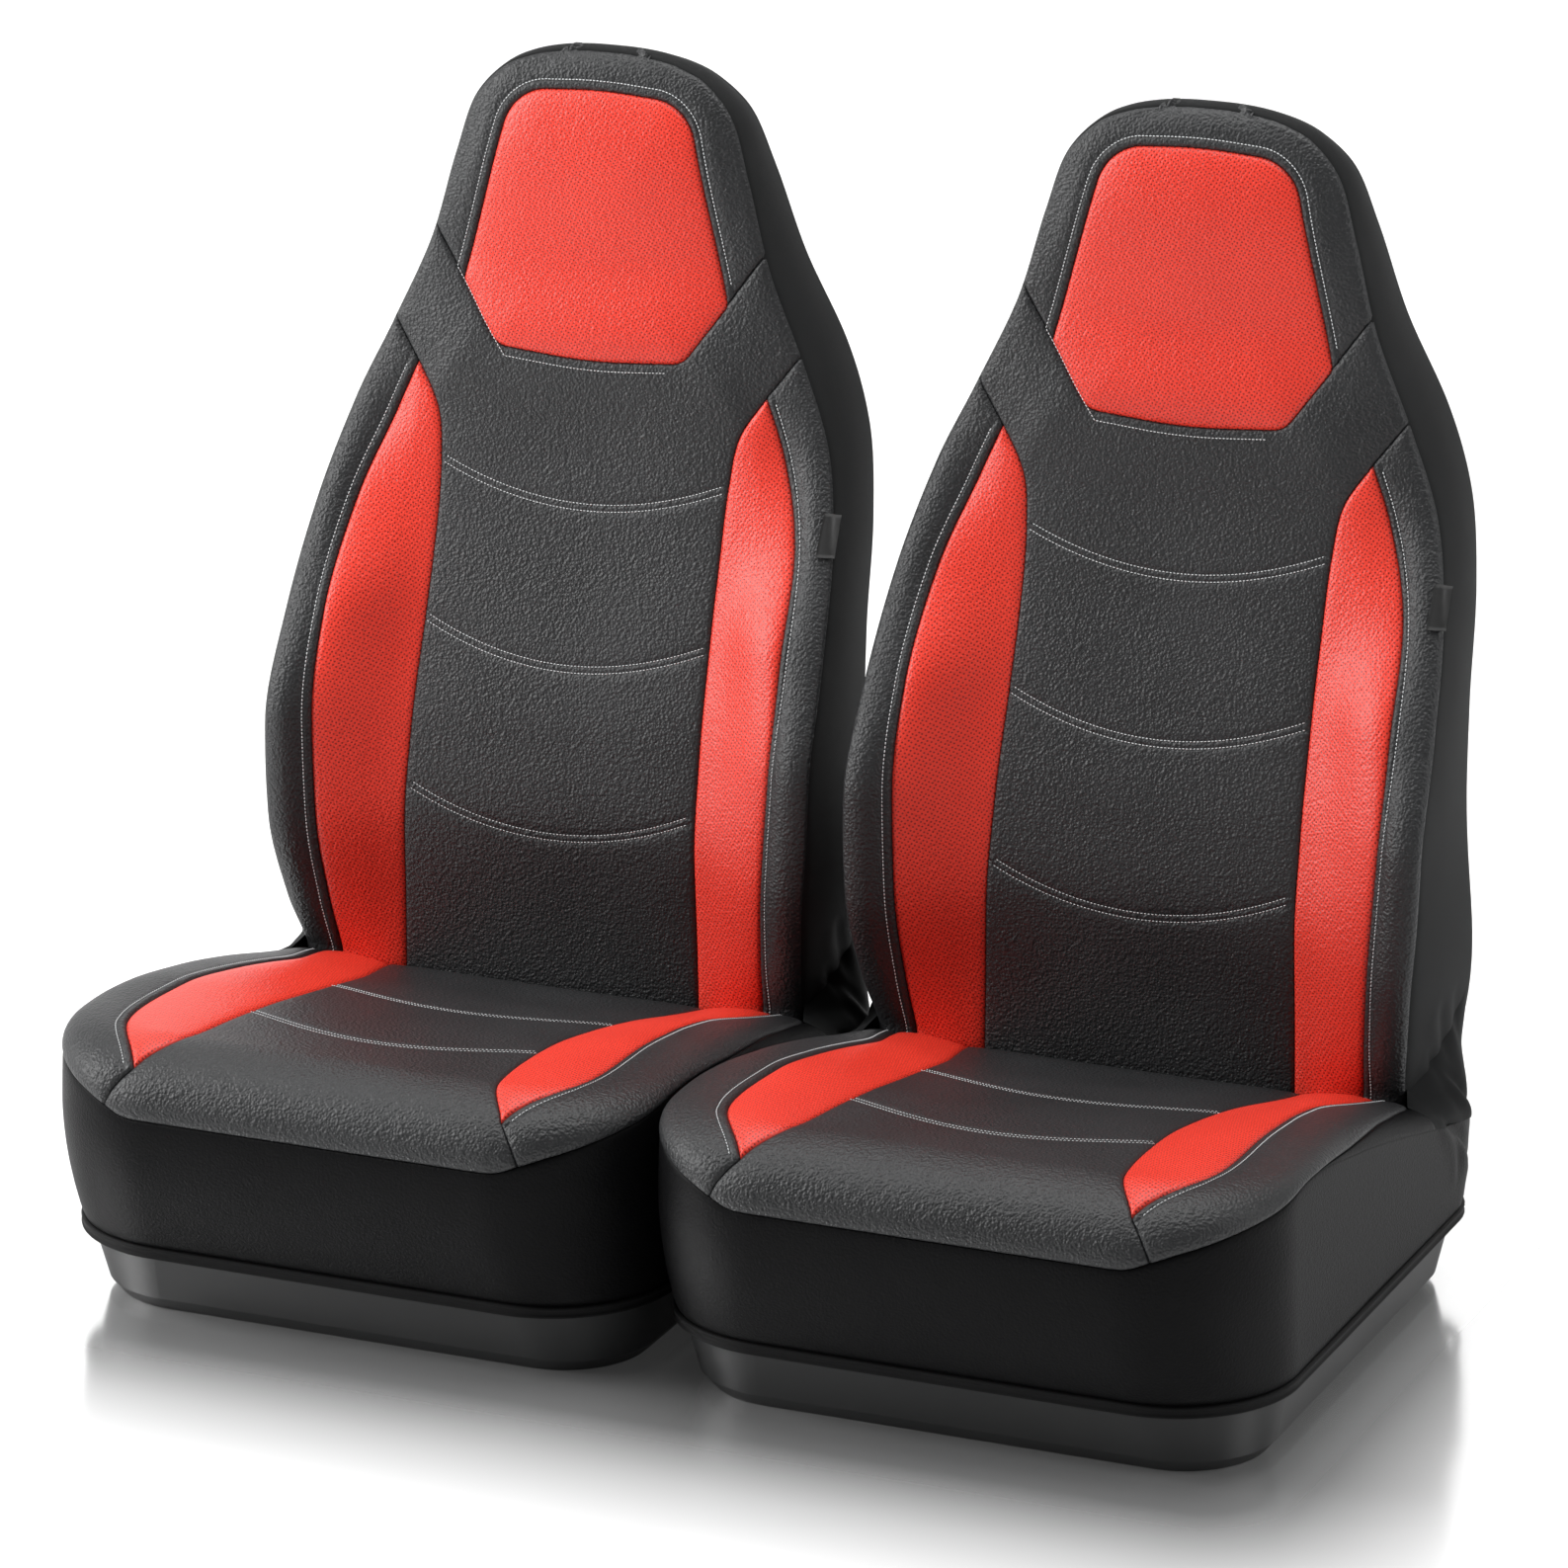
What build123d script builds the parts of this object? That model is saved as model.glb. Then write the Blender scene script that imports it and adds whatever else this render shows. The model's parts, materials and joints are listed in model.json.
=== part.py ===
from build123d import *
import math
import os
from collections import namedtuple

# Two one-piece high-back bucket seat covers, fitted to the seats that give them their shape.
# Millimetres. +Z up, the seats face -Y. Origin on the floor at the centre of the pair's footprint.
# Each seat is modelled about its own mid-plane X = 0 and then set at each place in SEAT_PLACES.

# The pair
SEAT_SPACING = 574.0
SEAT_PLACES = {"left": -SEAT_SPACING / 2, "right": SEAT_SPACING / 2}
FOOTPRINT_SHIFT = -8.5

# Materials' thicknesses and clearances
COVER = 3.0
FOAM_GAP = 0.4
FAR = 700.0

# Recliner: the backrest ends in a round heel about the pivot, and the cushion has a pocket for it
PIVOT_Y = 211.0
PIVOT_Z = 185.0
HEEL_RADIUS = 66.0
POCKET_RADIUS = 70.0
PIN_RADIUS = 8.0
RUNNING_GAP = 0.05
PIN_SPAN = (238.0, 264.0)
ARM_SPAN = (240.0, 245.0)
BRACKET_SPAN = (256.0, 261.0)
PIN_WELL_RADIUS = 15.0

# Plinth and pan
BASE_HEIGHT = 84.0
BASE_WALL = 5.0
PAN_SHEET = 3.0

# Skirt and hem: half width, front, rear and front corner radius of the outline at each height
SKIRT_BOTTOM = 74.0
SKIRT_BREAK = 150.0
CUSHION_TOP = 262.0
REAR_CORNER = 75.0
Outline = namedtuple("Outline", "wide front rear corner")
BASE_FOOT = Outline(252.0, -283.0, 262.0, 75.0)
BASE_LOW = Outline(262.0, -291.0, 274.0, 82.0)
BASE_RIM = Outline(277.0, -320.0, 284.0, 105.0)
BASE_FOOT_ROUND = 12.0
HEM_OUTLINE = Outline(281.0, -324.0, 288.0, 112.0)
NOSE_OUTLINE = Outline(284.0, -358.0, 288.0, 125.0)
HEM_BAND_HEIGHT = 10.0
ELASTIC_HEIGHT = 5.0

# Backrest sections: at height z, the half width and depth of the leather edge, of the insert's outer and
# inner seams, the depth of the centre line, and the half width and depth of the rear corner
BackRow = namedtuple("BackRow", "z wide edge_y outer_x outer_y inner_x inner_y centre_y rear_wide rear_y")
BACK_ROWS = [
    BackRow(100, 246, 149, 206, 145, 147, 145, 145, 246, 277),
    BackRow(198, 250, 149, 212, 145, 147, 147, 148, 250, 277),
    BackRow(250, 258, 126, 217, 129, 146, 146, 148, 257, 275),
    BackRow(330, 267, 108, 223, 116, 144, 143, 146, 261, 274),
    BackRow(420, 270, 111, 226, 121, 144, 158, 160, 260, 280),
    BackRow(520, 266, 152, 227, 149, 143, 188, 191, 256, 297),
    BackRow(620, 255, 204, 216, 207, 142, 219, 222, 248, 332),
    BackRow(700, 235, 241, 190, 240, 146, 236, 238, 231, 362),
    BackRow(770, 204, 257, 150, 248, 110, 243, 241, 203, 375),
    BackRow(850, 168, 265, 130, 259, 80, 258, 257, 166, 368),
    BackRow(930, 145, 271, 115, 262, 60, 260, 259, 142, 355),
    BackRow(985, 126, 277, 100, 270, 55, 267, 266, 122, 343),
    BackRow(1015, 98, 282, 75, 278, 40, 276, 275, 92, 337),
    BackRow(1033, 52, 287, 38, 285, 20, 284, 284, 46, 333),
]
CREST_IN = 14.0
CREST_PROUD = 4.0
REAR_ROUND = 18.0
SEAM_MARGIN = 7.0

# Cushion sections: at depth y, the half width, the height of the side seam, of the insert's outer and inner
# seams, and of the centre line
CushionRow = namedtuple("CushionRow", "y wide side_z outer_x outer_z inner_x inner_z centre_z")
CUSHION_ROWS = [
    CushionRow(288, 283, 196, 220, 190, 157, 188, 187),
    CushionRow(145, 283, 203, 218, 193, 157, 190, 189),
    CushionRow(76, 284, 209, 213, 210, 149, 203, 200),
    CushionRow(0, 284, 217, 210, 230, 140, 220, 217),
    CushionRow(-76, 284, 226, 216, 246, 137, 235, 231),
    CushionRow(-152, 284, 240, 221, 257, 138, 248, 244),
    CushionRow(-228, 284, 244, 220, 260, 142, 256, 252),
    CushionRow(-275, 277, 238, 215, 260, 151, 259, 257),
    CushionRow(-315, 253, 230, 200, 252, 140, 254, 253),
    CushionRow(-342, 219, 219, 165, 234, 110, 237, 238),
    CushionRow(-358, 172, 206, 130, 210, 80, 211, 211),
]
SIDE_ROLL = 22.0
CREASE_Y = 141.0
SIDE_SEAM = [
    (-400, 205), (-358, 206), (-340, 219), (-280, 237), (-200, 246),
    (-74, 226), (94, 207), (CREASE_Y, 203), (205, 188), (288, 152), (400, 152),
]

# Seams of the backrest in front view (x, z), right half
HEAD_TOP = 1000.0
HEAD_BOTTOM = 756.0
HEAD_SHOULDER = (96, 958)
HEAD_WIDEST = (131, 817)
HEAD_CHAMFER = (92, 765)
ARCH_SEAM_OUT = (200, 922)
INSERT_TIP = (173, 738)
SHOULDER_SEAM_OUT = (240, 829)
BACK_INSERT_OUTER = [(208, 100), (212, 198), (223, 350), (227, 500), (217, 616), (192, 692), INSERT_TIP]
BACK_INSERT_INNER = [(148, 100), (147, 198), (144, 400), (141, 570), (145, 655), (152, 700), INSERT_TIP]

# Seams of the cushion in plan (x, y), right half
CUSHION_TIP = (176, -336)
NOSE_SEAM_OUT = (220, -376)
CUSHION_INSERT_OUTER = [(238, 160), (224, 114), (210, 38), (213, -38), (221, -152), (217, -266), CUSHION_TIP]
CUSHION_INSERT_INNER = [(160, 160), (156, 114), (143, 38), (137, -76), (140, -190), (152, -292), CUSHION_TIP]

# Inside of the backrest
TUBE_RADIUS = 11.0
TUBE_BEND = 34.0
TUBE_ROUTE = [
    (229, 215, 232), (229, 217, 320), (214, 250, 530), (186, 300, 680), (112, 310, 790), (84, 306, 972),
]
ARM_PLATE = (34.0, 150.0)
ARM_BOSS_RADIUS = 28.0
BRACKET_BOSS_RADIUS = 25.0
BRACKET_FOOT = (25.0, 50.0, 4.0)

# Tuck-in flap, anchor tube, hip gussets, rear flap and seam tag
FLAP_RADII = (67.5, 69.0)
ANCHOR_TUBE_RADIUS = 10.0
ANCHOR_TUBE_AT = (238.0, 99.0)
TUCK_HALF_WIDTH = 225.0
HIP_FOOT = (275.0, 160.0)
HIP_HEAD = (260.0, 250.0)
HIP_DEPTHS = (150.0, 235.0)
REAR_FLAP_HALF_WIDTH = 196.0
REAR_FLAP_DEPTHS = (279.5, 282.0)
REAR_FLAP_HEIGHTS = (128.0, 232.0)
TAG_HEIGHTS = (608.0, 649.0)
TAG_WIDTH = 15.0
TAG_SHEET = 1.2


def wire_face(edges):
    """A flat face bounded by edges given in order."""
    return Face(Wire(edges))


def lines(points):
    """Straight edges joining the points and closing back to the first."""
    return [Edge.make_line(a, b) for a, b in zip(points, points[1:] + points[:1])]


def front_view(points):
    """Points (x, z) as 3-D points in the plane Y = 0."""
    return [Vector(x, 0, z) for x, z in points]


def plan_view(points):
    """Points (x, y) as 3-D points in the plane Z = 0."""
    return [Vector(x, y, 0) for x, y in points]


def side_view(points):
    """Points (y, z) as 3-D points in the plane X = 0."""
    return [Vector(0, y, z) for y, z in points]


def through(face, direction):
    """A prism that runs FAR both ways from a flat face."""
    return Solid.extrude(face.moved(Location(direction * -FAR)), direction * (2 * FAR))


def mirrored(points):
    return [(-x, other) for x, other in points]


def x_cylinder(radius, span, y=PIVOT_Y, z=PIVOT_Z):
    """A cylinder along X between the two values of span."""
    centre = (span[0] + span[1]) / 2
    return Pos(centre, y, z) * Rot(0, 90, 0) * Cylinder(radius, span[1] - span[0])


def block(low, high):
    """A box between two corners."""
    size = [b - a for a, b in zip(low, high)]
    centre = [(a + b) / 2 for a, b in zip(low, high)]
    return Pos(*centre) * Box(*size)


def both_sides(solid):
    """A solid and its mirror image in the seat's mid-plane, as one group."""
    return Compound(children=[*solid.solids(), *mirror(solid, about=Plane.YZ).solids()])


def spline_outline(points_2d, view):
    return Edge.make_spline(view(points_2d))


def largest(shape):
    """The main solid of a cut, without its offcuts."""
    return max(shape.solids(), key=lambda solid: solid.volume)


# ---- Backrest envelope ----

def back_section(index, inset):
    """Closed section of the backrest at one height, inset all round by the cover's thickness."""
    row = BACK_ROWS[index]
    below = BACK_ROWS[max(index - 1, 0)]
    z = row.z - (inset if index == len(BACK_ROWS) - 1 else 0)
    slope = (below.wide - row.wide) / max(row.z - below.z, 1)
    across = inset * math.hypot(1, slope)
    wide = row.wide - across
    rear_wide = row.rear_wide - across
    rear_y = row.rear_y - inset
    right = [
        (row.inner_x - across / 2, row.inner_y + inset),
        (row.outer_x - across, row.outer_y + inset),
        (wide - CREST_IN, row.edge_y - CREST_PROUD + inset),
        (wide - CREST_IN / 4, row.edge_y - CREST_PROUD / 3 + inset),
        (wide, row.edge_y + inset),
        (rear_wide, rear_y - REAR_ROUND),
        (rear_wide - REAR_ROUND * 0.3, rear_y - REAR_ROUND * 0.3),
        (rear_wide - REAR_ROUND, rear_y),
    ]
    loop = [(0, row.centre_y + inset)] + right + mirrored(right)[::-1]
    return Wire(lines([Vector(x, y, z) for x, y in loop]))


def back_envelope(inset):
    """Backrest body: lofted sections above the pivot, a round heel below it."""
    loft_body = Solid.make_loft([back_section(index, inset) for index in range(len(BACK_ROWS))], True)
    above = block((-FAR, -FAR, PIVOT_Z), (FAR, FAR, 2 * FAR))
    heel = x_cylinder(HEEL_RADIUS - inset, (-FAR, FAR))
    return loft_body & (above + heel)


def depth_region(points, behind):
    """Everything behind, or in front of, a line through points (y, z) in side view."""
    far_y = FAR if behind else -FAR
    corners = points + [(far_y, points[-1][1]), (far_y, points[0][1])]
    return through(wire_face(lines(side_view(corners))), Vector(1, 0, 0))


def side_zone():
    """Where the gusset lies: behind the leather's outer seam, and outside what that seam surrounds."""
    rows = BACK_ROWS[1:]
    edge = [(195, 60), (185, 119)] + [(row.edge_y + 1, row.z) for row in rows] + [(290, 1100)]
    deepest = [(max(row.centre_y, row.edge_y) + COVER + SEAM_MARGIN, row.z) for row in rows]
    backing = [(205, 60), (205, 119)] + deepest + [(312, 1100)]
    right = [(row.wide - COVER - SEAM_MARGIN, row.z) for row in rows[:-1]]
    right = [(right[0][0], 60)] + right
    within = through(wire_face(lines(front_view(right + mirrored(right)[::-1]))), Vector(0, 1, 0))
    return depth_region(edge, behind=True) - (within & depth_region(backing, behind=False))


def rear_region():
    rows = BACK_ROWS[1:]
    points = [(215, 60), (225, 119)] + [(row.rear_y - REAR_ROUND, row.z) for row in rows] + [(312, 1100)]
    return depth_region(points, behind=True)


# ---- Backrest seams ----

def head_insert_prism():
    """Rounded top, splayed sides, chamfered lower corners, bottom edge sagging a little."""
    def half(sign):
        shoulder = Vector(sign * HEAD_SHOULDER[0], 0, HEAD_SHOULDER[1])
        widest = Vector(sign * HEAD_WIDEST[0], 0, HEAD_WIDEST[1])
        chamfer = Vector(sign * HEAD_CHAMFER[0], 0, HEAD_CHAMFER[1])
        top = Vector(0, 0, HEAD_TOP)
        crown = Edge.make_spline([top, shoulder], tangents=[Vector(sign, 0, 0), Vector(sign * 0.25, 0, -1)])
        return [crown, Edge.make_line(shoulder, widest), Edge.make_line(widest, chamfer)]

    bottom = Edge.make_three_point_arc(
        Vector(HEAD_CHAMFER[0], 0, HEAD_CHAMFER[1]),
        Vector(0, 0, HEAD_BOTTOM),
        Vector(-HEAD_CHAMFER[0], 0, HEAD_CHAMFER[1]),
    )
    return through(wire_face(half(1) + [bottom] + half(-1)[::-1]), Vector(0, 1, 0))


def arch_prism():
    """Everything above the two diagonal seams under the head."""
    right = [HEAD_WIDEST, ARCH_SEAM_OUT, (FAR, 1200)]
    points = right + mirrored(right)[::-1]
    return through(wire_face(lines(front_view(points))), Vector(0, 1, 0))


def insert_prism(outer, inner, view, direction, sign):
    """The strip between an insert's outer and inner seams."""
    outer_seam = spline_outline([(sign * a, b) for a, b in outer], view)
    inner_seam = spline_outline([(sign * a, b) for a, b in inner], view)
    foot = Edge.make_line(inner_seam @ 0, outer_seam @ 0)
    return through(wire_face([foot, outer_seam, inner_seam]), direction)


def bolster_prism(outer, seam_out, far_out, view, direction, sign):
    """Everything outboard of an insert's outer seam, up to the seam that runs on from its tip."""
    outer_seam = spline_outline([(sign * a, b) for a, b in outer], view)
    route = [outer[-1], seam_out, far_out, (far_out[0], outer[0][1]), outer[0]]
    points = view([(sign * a, b) for a, b in route])
    rest = [Edge.make_line(a, b) for a, b in zip(points, points[1:])]
    return through(wire_face([outer_seam] + rest), direction)


# ---- Plan outlines of skirt, hem, plinth and pan ----

def plan_wire(shape, z, inset=0.0):
    """A rectangle with large front corners and smaller rear corners."""
    wide = shape.wide - inset
    front = shape.front + inset
    rear = shape.rear - inset
    radius = max(shape.corner - inset, 1.0)
    back_radius = REAR_CORNER - inset
    diagonal = 1 - math.sqrt(0.5)

    def arc(sign, y, depth_sign, size):
        return Edge.make_three_point_arc(
            Vector(sign * wide, y + depth_sign * size, z),
            Vector(sign * (wide - size * diagonal), y + depth_sign * size * diagonal, z),
            Vector(sign * (wide - size), y, z),
        )

    front_right = arc(1, front, 1, radius)
    front_left = arc(-1, front, 1, radius)
    rear_right = arc(1, rear, -1, back_radius)
    rear_left = arc(-1, rear, -1, back_radius)
    return Wire([
        front_right,
        Edge.make_line(front_right @ 1, front_left @ 1),
        front_left,
        Edge.make_line(front_left @ 0, rear_left @ 0),
        rear_left,
        Edge.make_line(rear_left @ 1, rear_right @ 1),
        rear_right,
        Edge.make_line(rear_right @ 0, front_right @ 0),
    ])


def plan_loft(levels, inset=0.0):
    """A tapered body through plan outlines given as (outline, height)."""
    return Solid.make_loft([plan_wire(shape, z, inset) for shape, z in levels], True)


def plan_slab(shape, low, high, inset=0.0):
    return plan_loft([(shape, low), (shape, high)], inset)


# ---- Cushion envelope ----

def cushion_section(row, inset, forward):
    """Closed section of the cushion's upper body at one depth."""
    y = row.y + forward
    wide = row.wide - inset
    rise = row.outer_z - row.side_z
    roll = [(0, 0), (0.14, 0.45), (0.45, 0.8), (1, 0.95)]
    right = [(wide - SIDE_ROLL * across, row.side_z + rise * up - inset) for across, up in roll]
    right += [(row.outer_x, row.outer_z - inset), (row.inner_x, row.inner_z - inset)]
    top = mirrored(right) + [(0, row.centre_z - inset)] + right[::-1]
    low = [(wide, BASE_HEIGHT), (-wide, BASE_HEIGHT)]
    return Wire(lines([Vector(x, y, z) for x, z in top + low]))


def cushion_envelope(inset):
    last = len(CUSHION_ROWS) - 1
    sections = [cushion_section(row, inset, inset if i == last else 0) for i, row in enumerate(CUSHION_ROWS)]
    return Solid.make_loft(sections, True)


def above_side_seam():
    """Everything above the seam between the leather and the skirt."""
    seam = spline_outline(SIDE_SEAM, side_view)
    corners = side_view([SIDE_SEAM[-1], (SIDE_SEAM[-1][0], FAR), (SIDE_SEAM[0][0], FAR), SIDE_SEAM[0]])
    sides = [Edge.make_line(a, b) for a, b in zip(corners, corners[1:])]
    return through(wire_face([seam] + sides), Vector(1, 0, 0))


def pocket():
    """The space that the backrest's heel turns in, and all above and behind it, within the skirt."""
    half = NOSE_OUTLINE.wide - COVER
    round_part = x_cylinder(POCKET_RADIUS, (-half, half))
    upper = block((-half, CREASE_Y, PIVOT_Z), (half, FAR, FAR))
    return round_part + upper


# ---- Pieces of one seat ----

def make_base():
    outer = plan_loft([(BASE_FOOT, 0), (BASE_LOW, BASE_FOOT_ROUND), (BASE_RIM, BASE_HEIGHT)])
    inner = plan_loft([(BASE_LOW, BASE_FOOT_ROUND), (BASE_RIM, BASE_HEIGHT + 1)], BASE_WALL)
    return outer - inner


def make_pan():
    return plan_slab(BASE_RIM, BASE_HEIGHT, BASE_HEIGHT + PAN_SHEET, 1.0)


def make_brackets():
    low = BASE_HEIGHT + PAN_SHEET
    foot_x, foot_y, foot_z = BRACKET_FOOT
    plate = block(
        (BRACKET_SPAN[0], PIVOT_Y - foot_y / 2, low), (BRACKET_SPAN[1], PIVOT_Y + foot_y / 2, PIVOT_Z)
    )
    boss = x_cylinder(BRACKET_BOSS_RADIUS, BRACKET_SPAN)
    foot = block(
        (BRACKET_SPAN[1] - foot_x, PIVOT_Y - foot_y / 2, low),
        (BRACKET_SPAN[1], PIVOT_Y + foot_y / 2, low + foot_z),
    )
    return both_sides(plate + boss + foot - x_cylinder(PIN_RADIUS, BRACKET_SPAN))


def make_pins():
    shank = x_cylinder(PIN_RADIUS, PIN_SPAN)
    head = x_cylinder(PIN_RADIUS + 4, (BRACKET_SPAN[1], PIN_SPAN[1]))
    return both_sides(shank + head)


def make_arms():
    depth, height = ARM_PLATE
    plate = block((ARM_SPAN[0], PIVOT_Y - depth / 2, PIVOT_Z), (ARM_SPAN[1], PIVOT_Y + depth / 2, PIVOT_Z + height))
    boss = x_cylinder(ARM_BOSS_RADIUS, ARM_SPAN)
    return both_sides(plate + boss - x_cylinder(PIN_RADIUS + RUNNING_GAP, ARM_SPAN))


def make_frame():
    """A steel tube hoop that follows the seat's shoulders and head."""
    right = [Vector(*p) for p in TUBE_ROUTE]
    left = [Vector(-p.X, p.Y, p.Z) for p in right[::-1]]
    path = FilletPolyline(*right, *left, radius=TUBE_BEND)
    section = Plane(path @ 0, z_dir=path % 0) * Circle(TUBE_RADIUS)
    return sweep(section, path=path)


def make_hem():
    top = SKIRT_BOTTOM
    low = top - HEM_BAND_HEIGHT
    ring = plan_slab(HEM_OUTLINE, low, top, -2.0) - plan_slab(HEM_OUTLINE, low - 1, top + 1, COVER)
    middle = (low + top) / 2
    span = (middle - ELASTIC_HEIGHT / 2, middle + ELASTIC_HEIGHT / 2)
    elastic = plan_slab(HEM_OUTLINE, *span, 0.0) - plan_slab(HEM_OUTLINE, span[0] - 1, span[1] + 1, 1.5)
    return ring - elastic, elastic


def make_tuck():
    """The flap runs down through the crease and round under the heel to the anchor tube."""
    span = (-TUCK_HALF_WIDTH, TUCK_HALF_WIDTH)
    ring = x_cylinder(FLAP_RADII[1], span) - x_cylinder(FLAP_RADII[0], span)
    quarter = block((-FAR, -FAR, -FAR), (FAR, PIVOT_Y, PIVOT_Z))
    tube_y, tube_z = ANCHOR_TUBE_AT
    tail_top = PIVOT_Z - FLAP_RADII[0]
    tail = block((span[0], PIVOT_Y, tail_top - 1.5), (span[1], tube_y, tail_top))
    drop = block((span[0], tube_y - 1.5, tube_z + ANCHOR_TUBE_RADIUS), (span[1], tube_y, tail_top - 1.5))
    flap = (ring & quarter) + tail + drop
    tube = x_cylinder(ANCHOR_TUBE_RADIUS, span, tube_y, tube_z)
    return flap, tube


def make_hips():
    """Fabric that slopes in from the skirt's side to the backrest's gusset, across the hinge."""
    points = [HIP_FOOT, (HIP_FOOT[0] + COVER, HIP_FOOT[1]), (HIP_HEAD[0] + COVER, HIP_HEAD[1]), HIP_HEAD]
    face = wire_face(lines([Vector(x, HIP_DEPTHS[0], z) for x, z in points]))
    return both_sides(Solid.extrude(face, Vector(0, HIP_DEPTHS[1] - HIP_DEPTHS[0], 0)))


def make_rear_flap():
    half = REAR_FLAP_HALF_WIDTH
    return block(
        (-half, REAR_FLAP_DEPTHS[0], REAR_FLAP_HEIGHTS[0]), (half, REAR_FLAP_DEPTHS[1], REAR_FLAP_HEIGHTS[1])
    )


def make_tag():
    """A folded tag sewn into the seam between the bolster and the gusset, lying on the bolster."""
    rows = {row.z: row for row in BACK_ROWS}
    low, high = rows[620], rows[700]

    def at(z):
        share = (z - low.z) / (high.z - low.z)
        edge_y = low.edge_y + share * (high.edge_y - low.edge_y)
        wide = low.wide + share * (high.wide - low.wide)
        return wide + 1.0, edge_y - 2 * CREST_PROUD

    corners = []
    for z in TAG_HEIGHTS:
        x, y = at(z)
        corners.append((Vector(x - TAG_WIDTH, y, z), Vector(x, y, z)))
    outline = [corners[0][0], corners[0][1], corners[1][1], corners[1][0]]
    face = wire_face(lines(outline))
    return Solid.extrude(face, Vector(0, -TAG_SHEET, 0))


def back_pieces():
    outer = back_envelope(0.0)
    inner = back_envelope(COVER)
    pin_wells = both_sides(x_cylinder(PIN_WELL_RADIUS, (ARM_SPAN[0] - 4, BRACKET_SPAN[1])))
    shell = outer - inner - pin_wells
    rear_zone = rear_region()
    gusset_zone = side_zone()
    sides_and_front = shell - rear_zone
    front = sides_and_front - gusset_zone
    along_y = Vector(0, 1, 0)
    head = head_insert_prism()
    arch = arch_prism()
    pieces = {
        "head_insert": front & head,
        "head_surround": (front & arch) - head,
        "back_gusset": sides_and_front & gusset_zone,
        "rear_panel": shell & rear_zone,
    }
    centre = front - head - arch
    for side, sign in (("l", -1), ("r", 1)):
        insert = insert_prism(BACK_INSERT_OUTER, BACK_INSERT_INNER, front_view, along_y, sign)
        bolster = bolster_prism(BACK_INSERT_OUTER, SHOULDER_SEAM_OUT, (FAR, 829), front_view, along_y, sign)
        pieces["back_insert_" + side] = front & insert
        pieces["back_bolster_" + side] = front & bolster
        centre = centre - insert - bolster
    pieces["back_centre"] = centre
    pieces["back_frame"] = make_frame()
    pieces["recliner_arms"] = make_arms()
    pieces["back_foam"] = inner - pieces["back_frame"] - pieces["recliner_arms"] - pin_wells
    pieces["seam_tag"] = make_tag()
    return pieces


def cushion_pieces():
    leather_zone = above_side_seam()
    in_front = block((-FAR, -FAR, -FAR), (FAR, CREASE_Y, FAR))
    inner = cushion_envelope(COVER)
    within = plan_slab(NOSE_OUTLINE, SKIRT_BREAK, FAR, COVER + 8)
    shell = (cushion_envelope(0.0) - inner) & (leather_zone + within) & in_front
    levels = [(HEM_OUTLINE, SKIRT_BOTTOM), (NOSE_OUTLINE, SKIRT_BREAK), (NOSE_OUTLINE, CUSHION_TOP)]
    inside_levels = [(HEM_OUTLINE, SKIRT_BOTTOM - 1), (NOSE_OUTLINE, SKIRT_BREAK), (NOSE_OUTLINE, CUSHION_TOP + 1)]
    skirt = plan_loft(levels) - plan_loft(inside_levels, COVER) - leather_zone
    up = Vector(0, 0, 1)
    pieces = {"skirt": skirt}
    centre = shell
    for side, sign in (("l", -1), ("r", 1)):
        insert = insert_prism(CUSHION_INSERT_OUTER, CUSHION_INSERT_INNER, plan_view, up, sign)
        bolster = bolster_prism(CUSHION_INSERT_OUTER, NOSE_SEAM_OUT, (FAR, -376), plan_view, up, sign)
        pieces["cushion_insert_" + side] = shell & insert
        pieces["cushion_bolster_" + side] = shell & bolster
        centre = centre - insert - bolster
    pieces["cushion_centre"] = centre
    levels = [(HEM_OUTLINE, SKIRT_BOTTOM), (NOSE_OUTLINE, SKIRT_BREAK), (NOSE_OUTLINE, CUSHION_TOP + 10)]
    within_skirt = plan_loft(levels, COVER + FOAM_GAP)
    above_pan = block((-FAR, -FAR, BASE_HEIGHT + PAN_SHEET), (FAR, PIVOT_Y - 6, FAR))
    brackets = make_brackets()
    pieces["cushion_foam"] = largest((inner & within_skirt & above_pan) - pocket() - brackets)
    pieces["recliner_brackets"] = brackets
    pieces["recliner_pins"] = make_pins()
    pieces["base"] = make_base()
    pieces["seat_pan"] = make_pan()
    pieces["hem_band"], pieces["hem_elastic"] = make_hem()
    pieces["anchor_flap"], pieces["anchor_tube"] = make_tuck()
    pieces["hip_gussets"] = make_hips()
    pieces["rear_flap"] = make_rear_flap()
    return pieces


def main():
    os.makedirs("parts", exist_ok=True)
    pieces = {**cushion_pieces(), **back_pieces()}
    for seat, x in SEAT_PLACES.items():
        for name, shape in pieces.items():
            solids = [solid.moved(Location((x, FOOTPRINT_SHIFT, 0))) for solid in shape.solids()]
            placed = solids[0] if len(solids) == 1 else Compound(children=solids)
            export_step(placed, os.path.join("parts", f"{seat}_{name}.step"))


main()
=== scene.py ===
import json
import math

import bpy
import numpy as np
from mathutils import Matrix, Vector
from mathutils.geometry import delaunay_2d_cdt


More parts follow.
